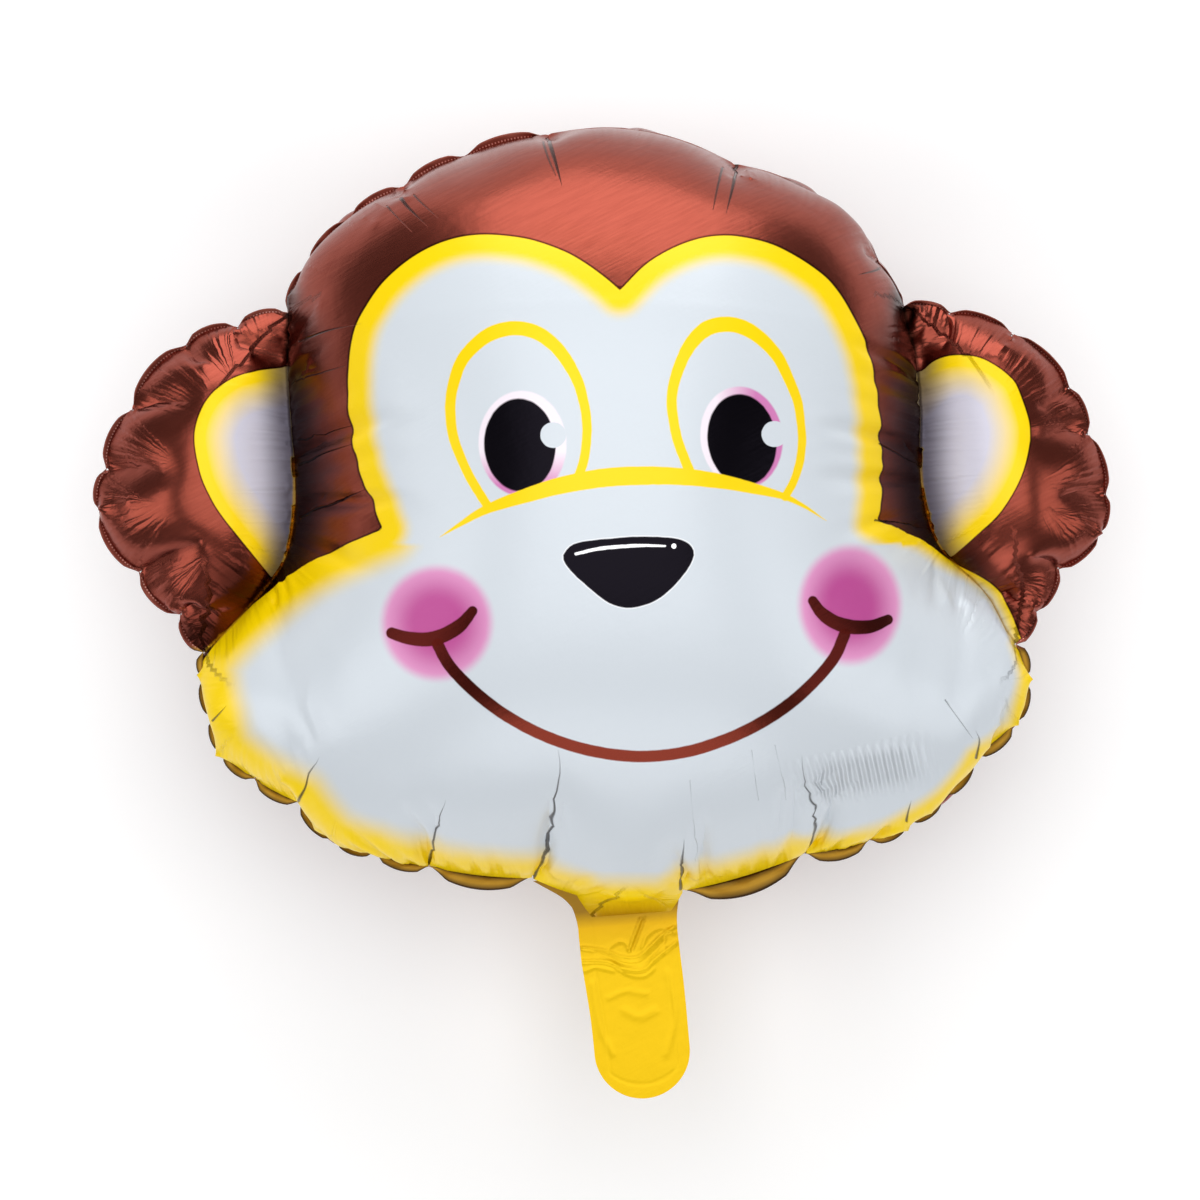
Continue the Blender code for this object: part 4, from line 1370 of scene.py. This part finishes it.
def made_plain(obj):
    """Turns what an object's modifiers give into its own mesh, and takes them off."""
    bpy.context.view_layer.update()
    graph = bpy.context.evaluated_depsgraph_get()
    mesh = bpy.data.meshes.new_from_object(obj.evaluated_get(graph))
    old = obj.data
    obj.modifiers.clear()
    obj.data = mesh
    mesh.name = obj.name
    bpy.data.meshes.remove(old)


def hand_over(piece):
    """Hangs the piece on the root body, and hides the imported solid that it stands in for."""
    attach(piece, "root")
    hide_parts(SOLID)


def plan_shift():
    """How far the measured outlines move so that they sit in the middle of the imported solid."""
    low, high = np.array(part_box(SOLID))
    return np.array([*((low + high)[:2] / 2 - SOLID_MIDDLE), SEAL_HEIGHT])


class BALLOON_OT_film(bpy.types.Operator):
    """Swells the front and back sheets from their flat cut, joins them and prints the face."""

    bl_idname = "balloon.film"
    bl_label = "Blow up the film"

    def execute(self, context):
        sizes, colours = context.scene.balloon_film, context.scene.balloon_print
        seal = Seal(sizes)
        film = Film(sizes, seal)
        front = swell(film, dome(film), 1, steps=260, pressure=1e-4)
        back = swell(film, front, -1, steps=40, pressure=1e-4)
        front, back = film.finer(front, back)
        front = swell(film, front, 1, steps=120, pressure=5e-5)
        back = swell(film, back, -1, steps=60, pressure=5e-5)
        # Ears, cheeks, crown and neck are smoothed, because real film is stiffer than these triangles
        front = self.eased(film, front, cheeks=30, ears=7, rest=4)
        front, back = film.finer(front, back)
        front = swell(film, front, 1, steps=70, pressure=1.5e-5)
        front = self.eased(film, front, cheeks=12, ears=16, rest=30)
        held, seats = film.pinned()
        front[held] = seats[held]
        level = np.where(held[:, None], np.column_stack([film.cut, np.zeros(len(film.cut))]), front)
        prints = smoothed(film, level, 14, held)
        held, seats = film.pinned(-1)
        back[held] = seats[held]
        back = smoothed(film, back, 2, held)
        floor_depth = SEAL_HEIGHT - sizes.thickness / 2
        back[:, 2] *= (floor_depth + sizes.press) / back[:, 2].max()
        back = settled_on_floor(back, floor_depth)
        print_places = apparent(prints)
        points, faces, finish, loops = closed_film(film, front, back, sizes)
        points = points + plan_shift()
        finishes = [printed_front(colours), bare_back(colours)]
        balloon = object_from("printed_film", points, faces, finishes, finish)
        self.store_print(balloon.data, film, print_places, points, sizes)
        sharpen(balloon.data, loops, [*film.creases, *film.ear_lines])
        hand_over(balloon)
        return {"FINISHED"}

    @staticmethod
    def eased(film, front, cheeks, ears, rest):
        """The front sheet, smoothed for this many rounds in its cheeks, in its ears, and in its crown and neck."""
        held = film.pinned()[0]
        held[np.concatenate(film.creases)] = True
        across, up = np.abs(film.cut[:, 0]), film.cut[:, 1]
        front = smoothed(film, front, cheeks, held | (across < 0.15) | (up > 0.005) | (up < -0.12))
        front = smoothed(film, front, ears, held | (across < 0.19) | (up < 0.005))
        front = smoothed(film, front, rest, held | (across > 0.18) | ((up < 0.15) & (up > -0.150)))
        front = smoothed(film, front, 2 * rest, film.pinned()[0] | (across > 0.07) | (up > -0.153))
        # The neck's film ends at its straight seal, and doesn't hang over it
        start, end = np.array(NECK[1::-1]) * film.sizes.width
        seal = np.interp(front[:, 0], [start[0], end[0]], [start[1], end[1]])
        below = (front[:, 1] < seal) & (front[:, 0] > start[0]) & (front[:, 0] < end[0])
        front[:, 1] = np.where(below, seal + 0.1 * (front[:, 1] - seal), front[:, 1])
        return front

    @staticmethod
    def store_print(mesh, film, print_places, points, sizes):
        """Stores on the mesh what the print's nodes read: distances in millimetres, masks and two UV maps."""
        count = len(film.cut)
        values = printed_values(film, print_places, sizes)
        muzzle = values["muzzle_line"]
        below = np.clip(-muzzle[:, 0] / 0.8 + 0.5, 0, 1) * (muzzle[:, 2] < 0) * (np.abs(muzzle[:, 0]) < 40)
        values["below_muzzle_line"] = below
        for name, found in values.items():
            # The back's points lie far off every outline and stroke
            rest = -50.0 if found.ndim == 1 else (50.0, 0.1, 50.0)
            if name in ("face_white", "below_muzzle_line"):
                rest = 0.0
            whole = np.full((len(points), *found.shape[1:]), rest)
            whole[:count] = found
            give_attribute(mesh, name, whole)
        seam = np.full(len(points), 60.0)
        # Painted shade: root_shade darkens the brown film by the ear seals on the head's side and in the ears' corners;
        # ear_shade darkens the inner ears by their seals
        shade, ear_shade = np.zeros((2, len(points)))
        for ear_seal in (LEFT_EAR_SEAL, RIGHT_EAR_SEAL):
            line = curve_through(np.array(ear_seal) * sizes.width, 6)
            away, _, _ = distance_to(print_places, line)
            root = np.interp(print_places[:, 1], line[::-1, 1], line[::-1, 0])
            head_side = np.abs(print_places[:, 0]) < np.abs(root)
            shade[:count] += 0.85 * fading(away, 0.004, 0.042) * head_side
            ear_shade[:count] += fading(away, 0.001, 0.022) * (~head_side | (away < 0.004))
        for corner, reach in EAR_SHADOWS:
            away = np.linalg.norm(print_places - np.array(corner) / 1000, axis=1)
            shade[:count] += 0.9 * fading(away, 0.004, reach / 1000)
        give_attribute(mesh, "root_shade", np.minimum(shade, 1.0))
        give_attribute(mesh, "ear_shade", ear_shade)
        places = np.zeros((len(points), 2))
        places[:count] = print_places
        places[count:] = points[count:, :2]
        give_uv(mesh, "print", places)
        rims = np.full((len(points), 2), 1.0)
        outline = film.seal.places(np.linspace(0, film.seal.length, 700), folded=0.0)
        for line in (outline, film.cut[film.ear_lines[0]], film.cut[film.ear_lines[1]]):
            away, _, along = distance_to(film.cut, line)
            nearer = away < rims[:count, 1]
            rims[:count][nearer] = np.column_stack([along, away])[nearer]
            if line is not outline:
                seam[:count] = np.minimum(seam[:count], away * 1000)
        give_attribute(mesh, "seam", seam)
        give_uv(mesh, "rim", rims)


class BALLOON_OT_tail(bpy.types.Operator):
    """Lays the flat filling tail out from the neck."""

    bl_idname = "balloon.tail"
    bl_label = "Lay out the tail"

    def execute(self, context):
        sizes = context.scene.balloon_film
        places, lift, depth = tail_sheet(sizes)
        points, faces, loops = closed_sheet(places, lift, sizes.thickness * 0.8)
        tail = object_from("filling_tail", points + plan_shift(), faces.tolist(), [printed_tail()])
        give_attribute(tail.data, "tail_depth", np.tile(depth.ravel(), 2))
        sharpen(tail.data, loops)
        hand_over(tail)
        return {"FINISHED"}


class BALLOON_OT_margin(bpy.types.Operator):
    """Sweeps the flat sealed margin along the seal, from one side of the neck round to the other."""

    bl_idname = "balloon.margin"
    bl_label = "Seal the margin"

    def execute(self, context):
        sizes = context.scene.balloon_film
        seal = Seal(sizes)
        path, halves, tilts, along = margin_path(seal, sizes)
        drop = -np.sin(tilts) * halves
        points = np.column_stack([path, drop]) + plan_shift()
        mesh = bpy.data.meshes.new("sealed_margin")
        mesh.from_pydata(points, [(k, k + 1) for k in range(len(points) - 1)], [])
        give_attribute(mesh, "half_width", halves)
        give_attribute(mesh, "hang", tilts)
        give_attribute(mesh, "along", along)
        margin = bpy.data.objects.new("sealed_margin", mesh)
        context.scene.collection.objects.link(margin)
        tree, sockets = margin_tree(sealed_edge())
        strip = margin.modifiers.new("strip", "NODES")
        strip.node_group = tree
        strip[sockets["Thickness"]] = sizes.thickness
        strip[sockets["Ripple"]] = MARGIN_RIPPLE
        strip[sockets["Seed"]] = sizes.seed
        made_plain(margin)
        hand_over(margin)
        return {"FINISHED"}


class BALLOON_OT_stage(bpy.types.Operator):
    """Sets out the pale floor, the soft lights and the camera."""

    bl_idname = "balloon.stage"
    bl_label = "Set the stage"

    def execute(self, context):
        sizes = context.scene.balloon_stage
        corners = [(-6, -6, 0), (6, -6, 0), (6, 6, 0), (-6, 6, 0)]
        floor = object_from("paper_floor", corners, [(0, 1, 2, 3)], [pale_floor(sizes.floor)])
        for name, place, size, brightness in LIGHTS:
            light = bpy.data.lights.new(name, "AREA")
            light.shape = "RECTANGLE"
            light.size, light.size_y = size
            light.energy = sizes.light_power * brightness * math.pi * size[0] * size[1]
            lamp = bpy.data.objects.new(name, light)
            lamp.location = place
            lamp.rotation_euler = (Vector((0, 0, 0.1)) - Vector(place)).to_track_quat("-Z", "Y").to_euler()
            context.scene.collection.objects.link(lamp)
        world = context.scene.world or bpy.data.worlds.new("studio")
        context.scene.world = world
        world.use_nodes = True
        sky = world.node_tree.nodes["Background"]
        sky.inputs["Color"].default_value = linear("#FFFFFF")
        sky.inputs["Strength"].default_value = sizes.room_light
        lens = bpy.data.cameras.new("photo_camera")
        lens.lens, lens.sensor_width = 100.0, 36.0
        lens.dof.use_dof = False
        camera = bpy.data.objects.new("photo_camera", lens)
        shift = plan_shift()
        camera.location = (VIEW_CENTRE[0] + shift[0], VIEW_CENTRE[1] + shift[1], SEAL_HEIGHT + sizes.camera_height)
        context.scene.collection.objects.link(camera)
        context.scene.camera = camera
        context.scene.view_settings.view_transform = "Standard"
        return {"FINISHED"}


class BALLOON_PT_panel(bpy.types.Panel):
    """Lists the balloon's sizes, its colours and the steps that build it."""

    bl_label = "Monkey foil balloon"
    bl_idname = "BALLOON_PT_panel"
    bl_space_type = "VIEW_3D"
    bl_region_type = "UI"
    bl_category = "Balloon"

    def draw(self, context):
        for group in (context.scene.balloon_film, context.scene.balloon_print, context.scene.balloon_stage):
            box = self.layout.box()
            for name in group.__annotations__:
                box.prop(group, name)
        for operator in OPERATORS:
            self.layout.operator(operator.bl_idname)


OPERATORS = (BALLOON_OT_film, BALLOON_OT_tail, BALLOON_OT_margin, BALLOON_OT_stage)
CLASSES = (FilmSizes, PrintColours, StageSizes, *OPERATORS, BALLOON_PT_panel)


def register():
    for made in CLASSES:
        bpy.utils.register_class(made)
    bpy.types.Scene.balloon_film = PointerProperty(type=FilmSizes)
    bpy.types.Scene.balloon_print = PointerProperty(type=PrintColours)
    bpy.types.Scene.balloon_stage = PointerProperty(type=StageSizes)


def unregister():
    for name in ("balloon_film", "balloon_print", "balloon_stage"):
        delattr(bpy.types.Scene, name)
    for made in reversed(CLASSES):
        bpy.utils.unregister_class(made)


def main():
    register()
    bpy.ops.balloon.film()
    bpy.ops.balloon.tail()
    bpy.ops.balloon.margin()
    bpy.ops.balloon.stage()


if __name__ == "__main__":
    main()
